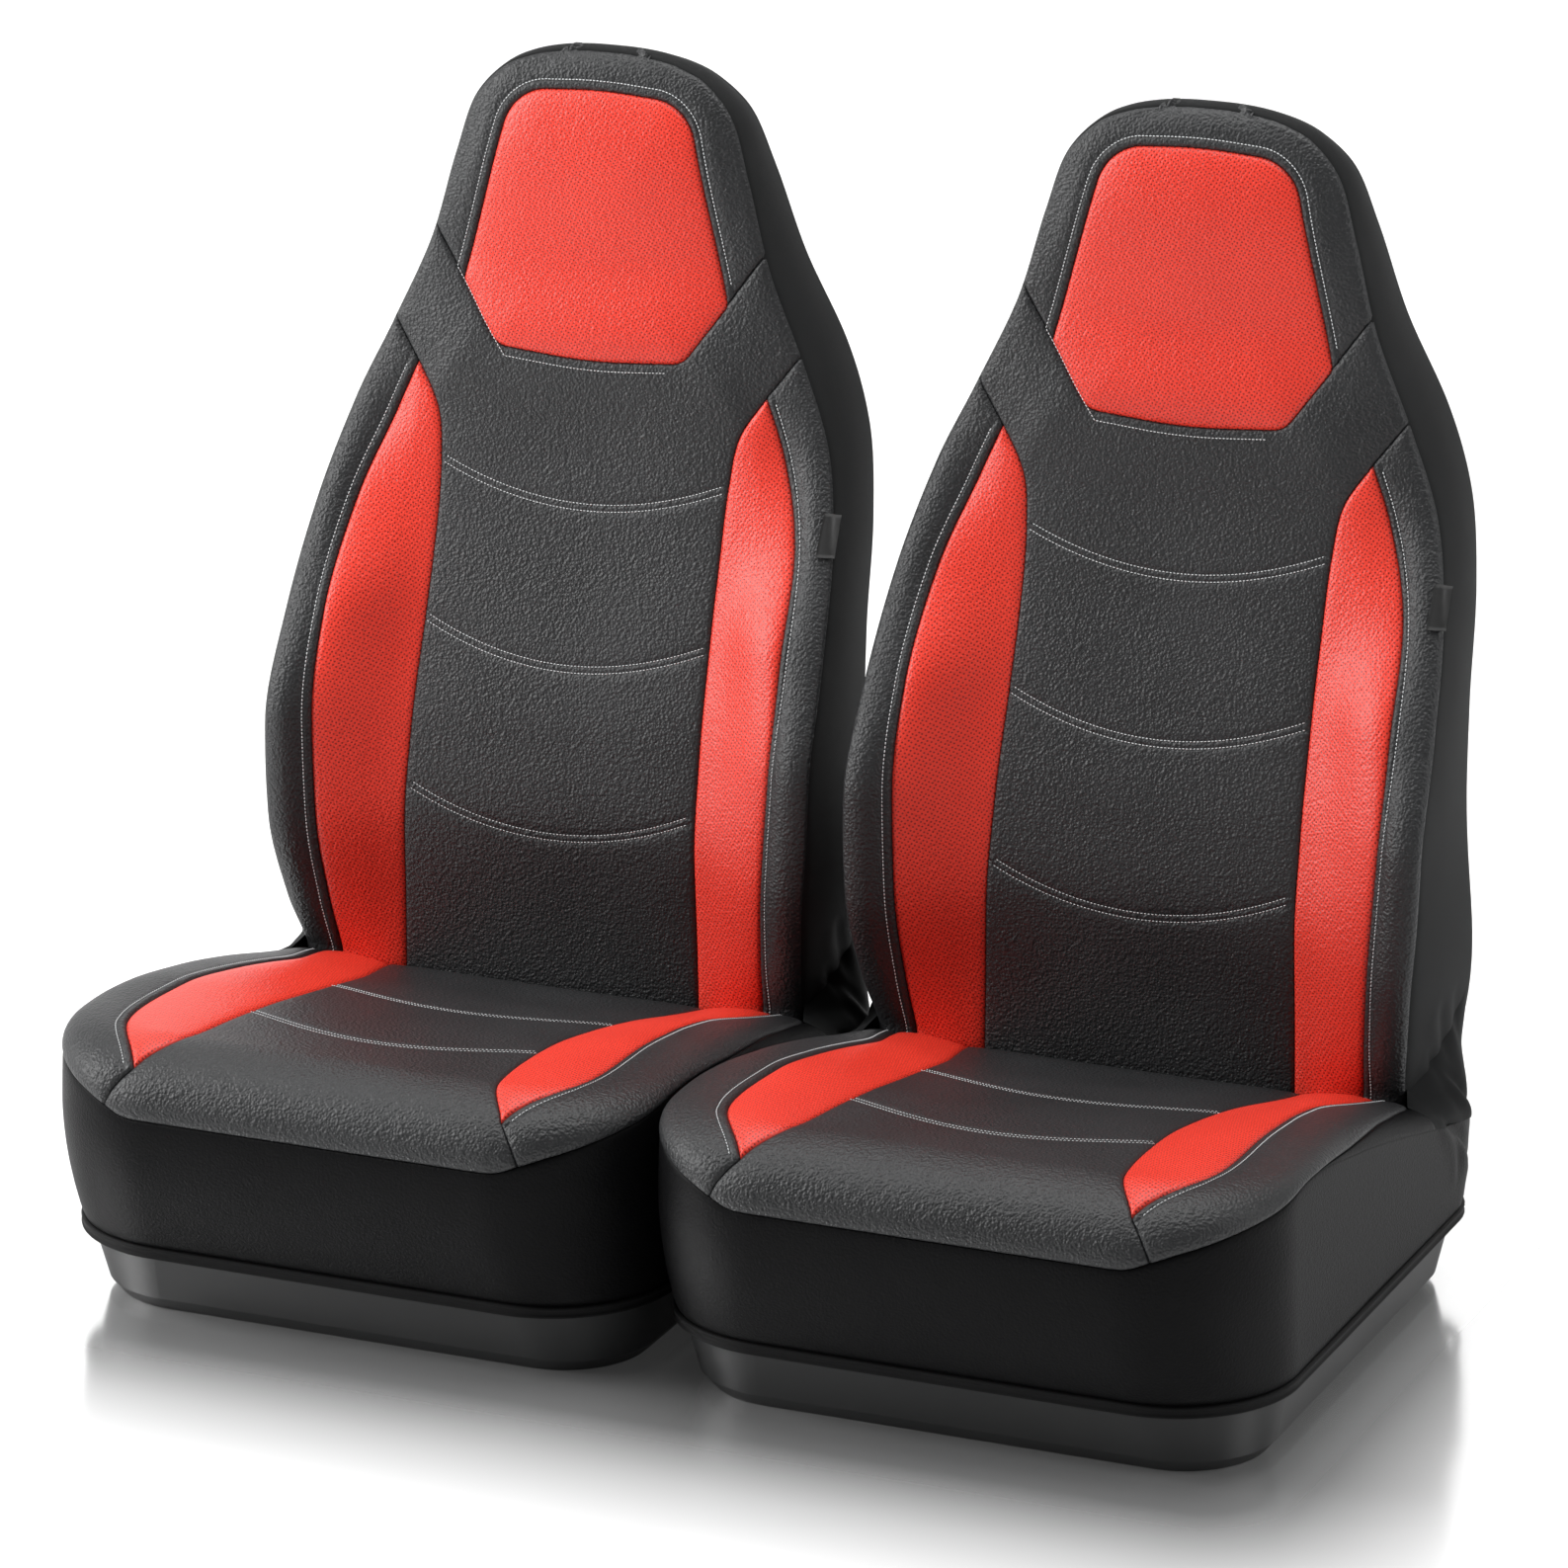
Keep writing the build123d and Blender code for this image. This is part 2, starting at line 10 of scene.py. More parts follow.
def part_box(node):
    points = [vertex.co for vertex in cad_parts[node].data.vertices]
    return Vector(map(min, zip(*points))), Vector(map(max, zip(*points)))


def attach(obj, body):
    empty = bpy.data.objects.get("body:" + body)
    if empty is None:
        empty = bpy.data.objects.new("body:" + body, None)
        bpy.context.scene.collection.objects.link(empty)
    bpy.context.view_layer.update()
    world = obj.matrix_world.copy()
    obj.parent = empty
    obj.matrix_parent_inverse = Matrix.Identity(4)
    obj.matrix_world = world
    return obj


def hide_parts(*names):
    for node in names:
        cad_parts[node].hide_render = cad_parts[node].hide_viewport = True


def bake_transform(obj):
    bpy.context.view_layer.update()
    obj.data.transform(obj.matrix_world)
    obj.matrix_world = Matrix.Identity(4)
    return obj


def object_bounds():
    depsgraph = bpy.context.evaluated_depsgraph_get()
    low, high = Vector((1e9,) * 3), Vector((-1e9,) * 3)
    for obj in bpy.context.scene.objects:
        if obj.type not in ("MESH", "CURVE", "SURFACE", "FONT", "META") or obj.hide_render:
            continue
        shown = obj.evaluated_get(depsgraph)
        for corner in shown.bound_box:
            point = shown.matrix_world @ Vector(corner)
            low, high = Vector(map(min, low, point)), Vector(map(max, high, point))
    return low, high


# Two high-back bucket seat covers, fitted to their seats. Shapes are worked out in each seat's own frame
# in millimetres (x across from the seat's mid-plane, y to the rear, z up) and placed in the row frame in
# metres.

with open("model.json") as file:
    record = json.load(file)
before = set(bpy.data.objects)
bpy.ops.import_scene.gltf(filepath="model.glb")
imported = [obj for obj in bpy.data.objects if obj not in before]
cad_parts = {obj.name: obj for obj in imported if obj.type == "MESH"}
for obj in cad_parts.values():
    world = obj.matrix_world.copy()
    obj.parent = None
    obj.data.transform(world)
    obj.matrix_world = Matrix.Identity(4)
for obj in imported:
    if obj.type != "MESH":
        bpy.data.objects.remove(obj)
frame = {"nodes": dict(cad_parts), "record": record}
cad_box = [list(corner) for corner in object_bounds()]
MM = 0.001

# Guide lines of the backrest: height, then half width and depth of the leather's edge and of the insert's
# outer and inner seams, depth of the centre line, half width and depth of the rear corner
WIDE, EDGE_Y, OUTER_X, OUTER_Y, INNER_X, INNER_Y, CENTRE_Y, REAR_X, REAR_Y = range(1, 10)
BACK_GUIDES = np.array([
    (198, 250, 149, 212, 145, 147, 147, 148, 250, 277),
    (250, 258, 126, 217, 129, 146, 146, 148, 257, 275),
    (330, 267, 108, 223, 116, 144, 143, 146, 261, 274),
    (420, 270, 111, 226, 121, 144, 158, 160, 260, 280),
    (520, 266, 152, 227, 149, 143, 188, 191, 256, 297),
    (620, 255, 204, 216, 207, 142, 219, 222, 248, 332),
    (700, 235, 241, 190, 240, 146, 236, 238, 231, 362),
    (770, 204, 257, 150, 248, 110, 243, 241, 203, 375),
    (850, 168, 265, 130, 259, 80, 258, 257, 166, 368),
    (930, 145, 271, 115, 262, 60, 260, 259, 142, 355),
    (985, 126, 277, 100, 270, 55, 267, 266, 122, 343),
    (1015, 98, 282, 75, 278, 40, 276, 275, 92, 337),
    (1033, 30, 287, 38, 285, 20, 284, 284, 26, 333),
], float)
BACK_TOP = [(98, 1014), (76, 1024), (50, 1030), (25, 1032.5), (0, 1033)]
REAR_TOP = [(93, 1012), (72, 1022), (47, 1028), (23, 1030.5), (0, 1031)]
HEEL_Y, HEEL_Z, HEEL_RADIUS = 211.0, 185.0, 66.0
BACK_FOOT = 127.0
REAR_ROUND = 18.0
REAR_INSET = 5.3
REAR_CROWN = 5.0
CREST = 4.0
EDGE_ROLL = 12.0

# Guide lines of the cushion's top: depth, half width and height at the insert's outer and inner seams, and
# height of the centre line
CUSHION_GUIDES = np.array([
    (-315, 215, 262, 150, 262, 261),
    (-275, 216, 261, 151, 259, 257),
    (-228, 220, 260, 142, 256, 252),
    (-152, 221, 257, 138, 248, 244),
    (-76, 216, 246, 137, 235, 231),
    (0, 210, 230, 140, 220, 217),
    (76, 213, 210, 149, 203, 200),
    (145, 218, 193, 157, 190, 189),
], float)
SIDE_SEAM = np.array([
    (-400, 203), (-358, 203.5), (-352, 211), (-340, 220), (-280, 237), (-200, 246),
    (-74, 227), (94, 187), (205, 161), (288, 150), (400, 150),
], float)
# How far round its side roll the leather reaches: depth and angle; below its edge the fabric comes up over
# the roll
LEATHER_REACH = np.array([(-180, 90), (-60, 63), (40, 38), (133, 25), (180, 25)], float)
PLAN = {"wide": 284.0, "front": -358.0, "rear": 288.0, "corner": 125.0, "rear_corner": 75.0}
HEM = {"wide": 281.0, "front": -324.0, "rear": 288.0, "corner": 112.0, "rear_corner": 75.0}
SIDE_ROLL, NOSE_ROLL = 45.0, 70.0
SIDE_ARC, NOSE_ARC = 60.0, 95.0
CREASE_START = 131.0
CREASE_ROLL = 10.0
CUSHION_END = 172.0
PLINTH_REAR = 284.0
PLAN_CENTRE = np.array([0.0, -30.0])
HEM_TOP = 74.0
HEM_RIBS = (-1.6, -8.6)
HEM_RIB_RADIUS = 1.6
SKIRT_STRAIGHT = 190.0
GUSSET_PITCH = 5.0
GUSSET_PUFF = 3.5
GUSSET_BULGE, BULGE_HEIGHT, BULGE_SPAN = 13.0, 290.0, 100.0
TAG_WIDTH = 15.0
FLAP_HALF_WIDTH, FLAP_TOP, FLAP_FOOT, FLAP_DEPTH = 196.0, 232.0, 128.0, 280.5
SHOULDER_ROWS, SHOULDER_COLUMNS = 14, 80
SHOULDER_START, SHOULDER_END = -180.0, 131.0

# Top of the hip fabric: along the gusset's side from low in front to high at the rear, then round behind
HIP_COLUMNS, HIP_LEVELS = 90, 40
HIP_FRONT, HIP_REAR = (150.0, 204.0), (252.0, 290.0)
HIP_BEHIND = [(262, 262, 294), (252, 270.5, 296), (235, 274.5, 297), (205, 275.5, 297)]

# Folds of the stretch fabric beside the crease: the line of each groove (depth, height), its height and
# its width
FOLDS = [
    ([(168, 238), (190, 217), (212, 194), (245, 160), (266, 130)], 4.6, 5.5),
    ([(146, 184), (166, 172), (192, 156), (223, 130), (252, 95)], 4.2, 5.0),
    ([(158, 178), (178, 158), (194, 136), (201, 104)], 2.2, 6.0),
    ([(176, 282), (190, 256), (214, 226), (236, 205)], 2.4, 8.0),
    ([(208, 284), (228, 250), (252, 214), (262, 190)], 2.4, 9.0),
    ([(150, 196), (186, 192), (214, 176)], 1.6, 6.0),
]

# Seams, right half
HEAD_CORNERS = [(0, 1001, 400), (86, 995, 45), (131, 817, 9), (92, 762, 22), (0, 755, 500)]
HEAD_WIDEST = (131.0, 817.0)
ARCH_OUT = (162.0, 864.0)
SHOULDER_OUT = (201.0, 776.0)
BACK_OUTER = [(208, 127), (212, 198), (223, 350), (227, 500), (217, 616), (192, 692), (173, 738)]
BACK_INNER = [(148, 127), (147, 198), (144, 400), (141, 570), (143, 655), (150, 700), (173, 738)]
CUSHION_OUTER = [(232, 172), (224, 114), (210, 38), (213, -38), (221, -152), (217, -266), (176, -336)]
CUSHION_INNER = [(163, 172), (156, 114), (143, 38), (137, -76), (140, -190), (152, -292), (176, -336)]
NOSE_SEAM_END = (198.0, -351.5)

# Stitching
STITCH_PITCH = 3.4
STITCH_LENGTH = 2.4
THREAD_RADIUS = 0.42
TOPSTITCH_IN = 8.0
THREAD_TAPER = np.array([0.45, 0.95, 1.1, 0.95, 0.45])
BACK_ROWS_Z = [(654, 30), (514, 31), (365, 32)]
CUSHION_ROWS_Y = [(-19, 38), (-180, 38)]
ROW_HALF_WIDTH = 139.0
ROW_GAP = 6.0

# Where the mesh is made finer beside a line of stitching
ONE_ROW = (-1.5, 0, 1.5)
TWO_ROWS = (-5.5, -4.2, -3, -1.5, 0, 1.5, 3, 4.2, 5.5)

# Lights: place, target, width and height, watts
LIGHTS = {
    "left": ((-3.2, -1.3, 2.0), (-0.1, 0.1, 0.5), (1.6, 2.6), 135),
    "right": ((3.4, 0.2, 1.7), (0.2, 0.1, 0.5), (1.4, 2.4), 30),
    "top": ((0.0, 0.2, 3.4), (0, 0.2, 0.4), (3.4, 2.2), 92),
}
WORLD_LIGHT = 0.16
CAMERA_AZIMUTH, CAMERA_ELEVATION = math.radians(23.105), math.radians(17.806)
CAMERA_PLACE = (2.5927, -6.0665, 2.5783)
CAMERA_LENS, CAMERA_SENSOR = 181.5, 36.0

# Floor: depths in front of and behind the seats, radius of the curve up to the wall, top of the wall
FLOOR_FRONT, FLOOR_REAR, FLOOR_CURVE, WALL_TOP = -6.0, 2.2, 1.8, 6.0
FLOOR_HALF_WIDTH = 8.0
# Floor polish and its painted glow: inset from the seats' box, then the distances over which the polish
# fades out and the painted glow comes in
POLISH_AND_GLOW_INSET, POLISH_AND_GLOW_START, POLISH_AND_GLOW_END = 0.05, 0.05, 0.34

SEATS = ("left", "right")
CARRIER_PARTS = ("base", "seat_pan", "recliner_brackets", "recliner_pins", "back_frame", "recliner_arms")


def place(seat):
    low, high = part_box(seat + "_base")
    return np.array([(low.x + high.x) / 2 / MM, high.y / MM - PLINTH_REAR, 0.0])


def to_seat(seat, corner):
    return np.array(corner) / MM - place(seat)


def mirrored(points, sign):
    """The points on the right side, or on the left for a negative sign."""
    return points * np.array([sign, 1, 1])


# ---- Curves and interpolation ----

def slopes(x, y):
    """Slopes of a monotone cubic through knots along the last axis."""
    step = np.diff(x, axis=-1)
    rise = np.diff(y, axis=-1) / step
    before, after = rise[..., :-1], rise[..., 1:]
    w1 = 2 * step[..., 1:] + step[..., :-1]
    w2 = step[..., 1:] + 2 * step[..., :-1]
    same = before * after > 0
    safe_before = np.where(same, before, 1.0)
    safe_after = np.where(same, after, 1.0)
    middle = np.where(same, (w1 + w2) / (w1 / safe_before + w2 / safe_after), 0.0)
    return np.concatenate([rise[..., :1], middle, rise[..., -1:]], axis=-1)


def hermite(t, h, p0, p1, m0, m1):
    """Cubic from p0 to p1 with the slopes m0 and m1, at the share t of a step h."""
    return (
        (1 + 2 * t) * (1 - t) ** 2 * p0 + t * (1 - t) ** 2 * h * m0
        + t * t * (3 - 2 * t) * p1 + t * t * (t - 1) * h * m1
    )


def cubic(x, knots_x, knots_y):
    """Monotone cubic value at x, with the knots the same for all x or a row of them for each."""
    x = np.asarray(x, float)
    kx = np.broadcast_to(knots_x, x.shape + knots_x.shape[-1:])
    ky = np.broadcast_to(knots_y, x.shape + knots_y.shape[-1:])
    m = slopes(kx, ky)
    x = np.clip(x, kx[..., 0], kx[..., -1])
    i = np.clip((x[..., None] >= kx).sum(-1) - 1, 0, kx.shape[-1] - 2)[..., None]

    def ends(table):
        return [np.take_along_axis(table, index, -1)[..., 0] for index in (i, i + 1)]

    x0, x1 = ends(kx)
    h = x1 - x0
    return hermite((x - x0) / h, h, *ends(ky), *ends(m))


def lengths(points):
    """Length along a polyline up to each of its points."""
    return np.concatenate([[0], np.cumsum(np.linalg.norm(np.diff(points, axis=0), axis=1))])


def unit(vectors):
    return vectors / np.maximum(np.linalg.norm(vectors, axis=-1), 1e-9)[..., None]


def sample(points, run, at):
    """Points of a polyline at the places at, where run is the place of each of its corners."""
    return np.stack([np.interp(at, run, points[:, k]) for k in range(points.shape[1])], axis=1)


def resample(points, step, closed=False):
    """Points evenly spaced along a polyline."""
    points = np.asarray(points, float)
    if closed:
        points = np.vstack([points, points[:1]])
    run = lengths(points)
    count = max(int(round(run[-1] / step)), 2)
    at = np.linspace(0, run[-1], count + 1)
    return sample(points, run, at[:-1] if closed else at)


def curve(points, step=1.0):
    """A smooth curve through points."""
    p = np.asarray(points, float)
    chord = np.concatenate([[0], np.cumsum(np.sqrt(np.linalg.norm(np.diff(p, axis=0), axis=1)))])
    tangent = np.gradient(p, chord, axis=0)
    t = np.linspace(0, 1, 40)[:, None]
    spans = [
        hermite(t, chord[i + 1] - chord[i], p[i], p[i + 1], tangent[i], tangent[i + 1])
        for i in range(len(p) - 1)
    ]
    return resample(np.vstack(spans), step)


def flipped(points):
    return np.asarray(points, float) * np.array([-1, 1])


def rounded(corners):
    """A closed outline with a radius at each corner (x, y, radius)."""
    out = []
    count = len(corners)
    for i, (x, y, radius) in enumerate(corners):
        here = np.array([x, y], float)
        a = np.array(corners[i - 1][:2], float) - here
        b = np.array(corners[(i + 1) % count][:2], float) - here
        la, lb = np.linalg.norm(a), np.linalg.norm(b)
        a, b = a / la, b / lb
        half = math.acos(max(-1, min(1, float(a @ b)))) / 2
        cut = min(radius / math.tan(half), 0.48 * la, 0.48 * lb)
        reach = cut * math.tan(half)
        centre = here + (a + b) / np.linalg.norm(a + b) * reach / math.sin(half)
        start = here + a * cut - centre
        end = here + b * cut - centre
        turn = math.atan2(start[0] * end[1] - start[1] * end[0], float(start @ end))
        for t in np.linspace(0, 1, 24):
            c, s = math.cos(turn * t), math.sin(turn * t)
            out.append(centre + np.array([c * start[0] - s * start[1], s * start[0] + c * start[1]]))
    return resample(out, 1.0, closed=True)


def distance(points, line, closed=False):
    """Distance from each point to a polyline: the nearest of its spread corners, then the segments by it."""
    line = np.asarray(line, float)
    count = len(line)
    spread, reach, batch = 8, 14, 4000
    coarse = line[::spread]
    last = count if closed else count - 1
    best = np.full(len(points), 1e9)
    window = np.arange(-reach, reach + 1)
    for low in range(0, len(points), batch):
        p = points[low:low + batch]
        gap = ((p[:, None, :] - coarse[None]) ** 2).sum(-1)
        near = gap.argmin(1) * spread
        starts = near[:, None] + window[None]
        starts = starts % count if closed else np.clip(starts, 0, last - 1)
        a = line[starts]
        d = line[(starts + 1) % count] - a
        q = p[:, None, :]
        t = ((q - a) * d).sum(-1) / np.maximum((d * d).sum(-1), 1e-9)
        foot = a + np.clip(t, 0, 1)[..., None] * d
        best[low:low + batch] = np.sqrt(((q - foot) ** 2).sum(-1)).min(-1)
    return best


def inside(points, outline):
    a = np.asarray(outline, float)
    b = np.roll(a, -1, axis=0)
    hit = np.zeros(len(points), bool)
    for (x0, y0), (x1, y1) in zip(a, b):
        if y0 == y1:
            continue
        cross = (points[:, 1] > y0) != (points[:, 1] > y1)
        hit ^= cross & (points[:, 0] < (x1 - x0) * (points[:, 1] - y0) / (y1 - y0) + x0)
    return hit


def offset(line, gap, closed=False):
    """A polyline moved sideways by gap, to its left."""
    line = np.asarray(line, float)
    along = np.roll(line, -1, 0) - np.roll(line, 1, 0) if closed else np.gradient(line, axis=0)
    return line + unit(np.stack([-along[:, 1], along[:, 0]], 1)) * gap


def join(*runs):
    """Runs end to end, without repeated points."""
    points = np.vstack(runs)
    same = 0.4
    keep = [0]
    for i in range(1, len(points)):
        if np.linalg.norm(points[i] - points[keep[-1]]) > same:
            keep.append(i)
    if np.linalg.norm(points[keep[-1]] - points[0]) < same:
        keep.pop()
    return points[keep]


# ---- Backrest surface ----

def back_guides(z, *columns):
    """Columns of the backrest's guide lines at heights z."""
    z = np.clip(z, BACK_GUIDES[0, 0], BACK_GUIDES[-1, 0])
    return [cubic(z, BACK_GUIDES[:, 0], BACK_GUIDES[:, column]) for column in columns]


def back_depth(x, z, edge):
    """Depth of the backrest's front at (x, z), where edge is the distance to the leather's outer seam."""
    wide, edge_y, outer_x, outer_y, inner_x, inner_y, centre_y = back_guides(
        z, WIDE, EDGE_Y, OUTER_X, OUTER_Y, INNER_X, INNER_Y, CENTRE_Y
    )
    outer_x = np.minimum(outer_x, 0.86 * wide)
    inner_x = np.minimum(inner_x, 0.8 * outer_x)
    zero = np.zeros_like(wide)
    kx = np.stack([-inner_x, zero, inner_x, outer_x, 0.94 * wide, wide + 6], -1)
    ky = np.stack([inner_y, centre_y, inner_y, outer_y, edge_y - CREST, edge_y - CREST + 1], -1)
    y = cubic(np.abs(x), kx, ky)
    t = np.clip(1 - edge / EDGE_ROLL, 0, 1)
    return y + (CREST - 0.5) * (1 - np.sqrt(1 - t * t))


def round_heel(x, y, z, radius):
    """Points of the backrest; below the pivot's height they follow the round heel."""
    angle = np.clip(HEEL_Z - z, 0, None) / HEEL_RADIUS
    low = z < HEEL_Z
    return np.stack([
        x,
        np.where(low, HEEL_Y + (y - HEEL_Y) * np.cos(angle), y),
        np.where(low, HEEL_Z - radius * np.sin(angle), z),
    ], 1)


def back_surface(flat, lift):
    """Front of the backrest."""
    edge = distance(flat, EDGE)

    def at(p):
        y = back_depth(p[:, 0], p[:, 1], edge)
        return round_heel(p[:, 0], y, p[:, 1], np.abs(y - HEEL_Y))

    return raised(at, flat, lift, 1)


def rear_surface(flat, lift):
    """Back of the backrest, rounded at its edges."""
    edge = distance(flat, REAR_EDGE)

    def at(p):
        x, z = p[:, 0], p[:, 1]
        y = back_guides(z, REAR_Y)[0]
        t = np.clip(1 - (edge + REAR_INSET) / REAR_ROUND, 0, 1)
        y = y - REAR_ROUND * (1 - np.sqrt(1 - t * t))
        wide = back_guides(np.minimum(z, BACK_GUIDES[-2, 0]), REAR_X)[0]
        y = y + REAR_CROWN * (1 - np.clip(np.abs(x) / wide, 0, 1) ** 2) - 1.0
        return round_heel(x, y, z, np.abs(y - HEEL_Y))

    return raised(at, flat, lift, -1)


def raised(at, flat, lift, sign):
    """Points of a surface, raised along its normal, and the normals."""
    base = at(flat)
    du, dv = (at(flat + np.array(step)) - at(flat - np.array(step)) for step in ((0.6, 0), (0, 0.6)))
    normal = unit(np.cross(du, dv) * sign)
    return base + normal * np.asarray(lift)[:, None], normal


# ---- Cushion surface ----

CORE_X = PLAN["wide"] - PLAN["corner"]
CORE_Y = PLAN["front"] + PLAN["corner"]
FLANK = PLAN["corner"] - SIDE_ROLL + SIDE_ARC
SHOULDER_FOOT = CORE_X + FLANK


def from_core(p):
    """Nearest point of the flat core, the way and distance from it, and the roll's start, radius and arc."""
    core = np.stack([np.clip(p[:, 0], -CORE_X, CORE_X), np.maximum(p[:, 1], CORE_Y)], 1)
    reach = p - core
    length = np.maximum(np.linalg.norm(reach, axis=1), 1e-9)
    way = reach / length[:, None]
    share = way[:, 1] ** 2
    roll = SIDE_ROLL + (NOSE_ROLL - SIDE_ROLL) * share
    arc = SIDE_ARC + (NOSE_ARC - SIDE_ARC) * share
    return core, way, length, PLAN["corner"] - roll, roll, arc


def unroll(points):
    """Plan position on the rolled edge to its place on the flat panel."""
    p = np.asarray(points, float)
    core, way, length, start, roll, arc = from_core(p)
    past = np.clip((length - start) / roll, 0, 1)
    far = start + np.arcsin(past) / (math.pi / 2) * arc
    return np.where((length > start)[:, None], core + way * far[:, None], p)


def cushion_top(x, y):
    """Height of the cushion's top where it isn't rolled over."""
    g = CUSHION_GUIDES
    y = np.clip(y, g[0, 0], g[-1, 0])
    outer_x, outer_z, inner_x, inner_z, centre_z = (cubic(y, g[:, 0], g[:, k]) for k in range(1, 6))
    side = cubic(y, SIDE_SEAM[:, 0], SIDE_SEAM[:, 1])
    edge_z = np.maximum(outer_z - 2, side + 7)
    zero = np.zeros_like(y)
    kx = np.stack([-inner_x, zero, inner_x, outer_x, zero + PLAN["wide"]], -1)
    ky = np.stack([inner_z, centre_z, inner_z, outer_z, edge_z], -1)
    return cubic(np.abs(x), kx, ky)


def cushion_surface(flat, lift):
    """Top of the cushion: rolled over at the nose and the sides, and down into the crease at the rear."""
    def at(p):
        core, way, length, start, roll, arc = from_core(p)
        past = length - start
        angle = np.clip(past / arc, 0, 1) * math.pi / 2
        rolled = (past > 0)[:, None]
        plan = np.where(rolled, core + way * (start + roll * np.sin(angle))[:, None], p)
        edge = core + way * PLAN["corner"]
        begin = np.where(rolled, core + way * start[:, None], p)
        top = cushion_top(begin[:, 0], begin[:, 1])
        seam = cubic(edge[:, 1], SIDE_SEAM[:, 0], SIDE_SEAM[:, 1])
        fall = np.where(past > 0, (top - seam) * (1 - np.cos(angle)), 0)
        over = np.clip(past - arc, 0, None)
        z = top - fall - over
        y = plan[:, 1]
        turn = np.clip(p[:, 1] - CREASE_START, 0, None) / CREASE_ROLL
        bend = np.clip(turn, 0, math.pi / 2)
        down = (turn - bend) * CREASE_ROLL
        y = np.where(turn > 0, CREASE_START + CREASE_ROLL * np.sin(bend), y)
        z = np.where(turn > 0, z - CREASE_ROLL * (1 - np.cos(bend)) - down, z)
        return np.stack([plan[:, 0], y, z], 1)

    return raised(at, flat, lift, 1)


# ---- Mesh building ----

def scatter(outline, rings, grid, lines):
    """Flat triangulation of an outline: rings of points along it and along lines, and a staggered grid."""
    step = 3.5
    outline = resample(outline, step, closed=True)
    x, y = outline.T
    if np.sum(x * np.roll(y, -1) - np.roll(x, -1) * y) < 0:
        outline = outline[::-1]
    near = []
    for gap in rings:
        ring = offset(outline, gap, closed=True)
        keep = inside(ring, outline) & (distance(ring, outline, True) > gap * 0.93)
        near.append(ring[keep])
    strips = []
    for line, gaps in lines:
        for gap in gaps:
            strip = offset(resample(line, step), gap)
            keep = inside(strip, outline) & (distance(strip, outline, True) > 0.9)
            strips.append(strip[keep])
    fixed = thinned(np.vstack(near + strips), 0.75)
    low, high = outline.min(0), outline.max(0)
    rows = np.arange(low[1], high[1], grid * 0.87)
    field = np.array([
        (x + (grid / 2 if r % 2 else 0), z)
        for r, z in enumerate(rows) for x in np.arange(low[0], high[0], grid)
    ])
    field = field[inside(field, outline)]
    field = field[distance(field, outline, True) > max(rings) + grid * 0.45]
    for line, gaps in lines:
        field = field[distance(field, line) > max(map(abs, gaps)) + grid * 0.4]
    points = np.vstack([outline, fixed, field])
    count = len(outline)
    edges = [(i, (i + 1) % count) for i in range(count)]
    verts, _, faces, _, _, _ = delaunay_2d_cdt([Vector(p) for p in points], edges, [], 1, 0.02)
    return np.array([tuple(v) for v in verts]), [tuple(f) for f in faces], outline


def thinned(points, gap):
    """Drops points that fall in the same small cell as another."""
    cells = np.floor(points / gap).astype(int)
    _, first = np.unique(cells, axis=0, return_index=True)
    return points[np.sort(first)]


def build(name, points, faces, normals, flat, flange=5.0):
    """A mesh object with its flat pattern as UVs and, round its rim, a seam allowance that goes inward."""
    a, b, c = (points[[f[k] for f in faces]] for k in range(3))
    turned = (np.cross(b - a, c - a) * normals[[f[0] for f in faces]]).sum(1) < 0
    faces = [f[::-1] if t else f for f, t in zip(faces, turned)]
    used = {}
    for f in faces:
        for i in range(len(f)):
            edge = (f[i], f[(i + 1) % len(f)])
            used[edge] = used.get(edge, 0) + 1
    rim = [e for e in used if (e[1], e[0]) not in used]
    count = len(points)
    inner = {}
    extra, extra_flat = [], []
    for i in sorted({v for e in rim for v in e}):
        inner[i] = count + len(extra)
        extra.append(points[i] - normals[i] * flange)
        extra_flat.append(flat[i])
    if flange > 0:
        points = np.vstack([points, extra])
        flat = np.vstack([flat, extra_flat])
        faces += [(e[1], e[0], inner[e[0]], inner[e[1]]) for e in rim]
    return finish_mesh(name, points, faces, flat)


def finish_mesh(name, points, faces, flat=None):
    mesh = bpy.data.meshes.new(name)
    mesh.from_pydata((points * MM).tolist(), [], faces)
    if flat is not None:
        uv = mesh.uv_layers.new(name="flat")
        loops = np.zeros(len(mesh.loops), int)
        mesh.loops.foreach_get("vertex_index", loops)
        uv.data.foreach_set("uv", (np.asarray(flat)[loops] * MM * 10).ravel())
    mesh.validate()
    mesh.shade_smooth()
    obj = bpy.data.objects.new(name, mesh)
    bpy.context.scene.collection.objects.link(obj)
    return obj


def grid_faces(rows, columns, closed=False):
    """Quads of a grid of points stored row by row."""
    wrap = columns if closed else columns - 1
    return [
        (r * columns + c, r * columns + (c + 1) % columns,
         (r + 1) * columns + (c + 1) % columns, (r + 1) * columns + c)
        for r in range(rows - 1) for c in range(wrap)
    ]


def seam_dip(d, depth=2.4, width=1.3):
    return -depth * np.exp(-d / width)


def welt(d, at=4.0, height=0.9, width=2.6):
    """The rib of seam allowance under the leather, beside a seam."""
    return height * np.exp(-((d - at) / width) ** 2)


def stitch_dip(d, depth=0.9, width=1.5):
    return -depth * np.exp(-(d / width) ** 2)


# ---- Outlines ----

def edge_path(top, column):
    """Right half of an outline of the backrest, from its foot to the middle of its top."""
    below = [(row[column], row[0]) for row in BACK_GUIDES[:-2]]
    foot = [(below[0][0] - 1.5, BACK_FOOT)]
    return curve(foot + below + top)


def both_halves(right):
    return np.vstack([right, flipped(right)[::-1][1:]])


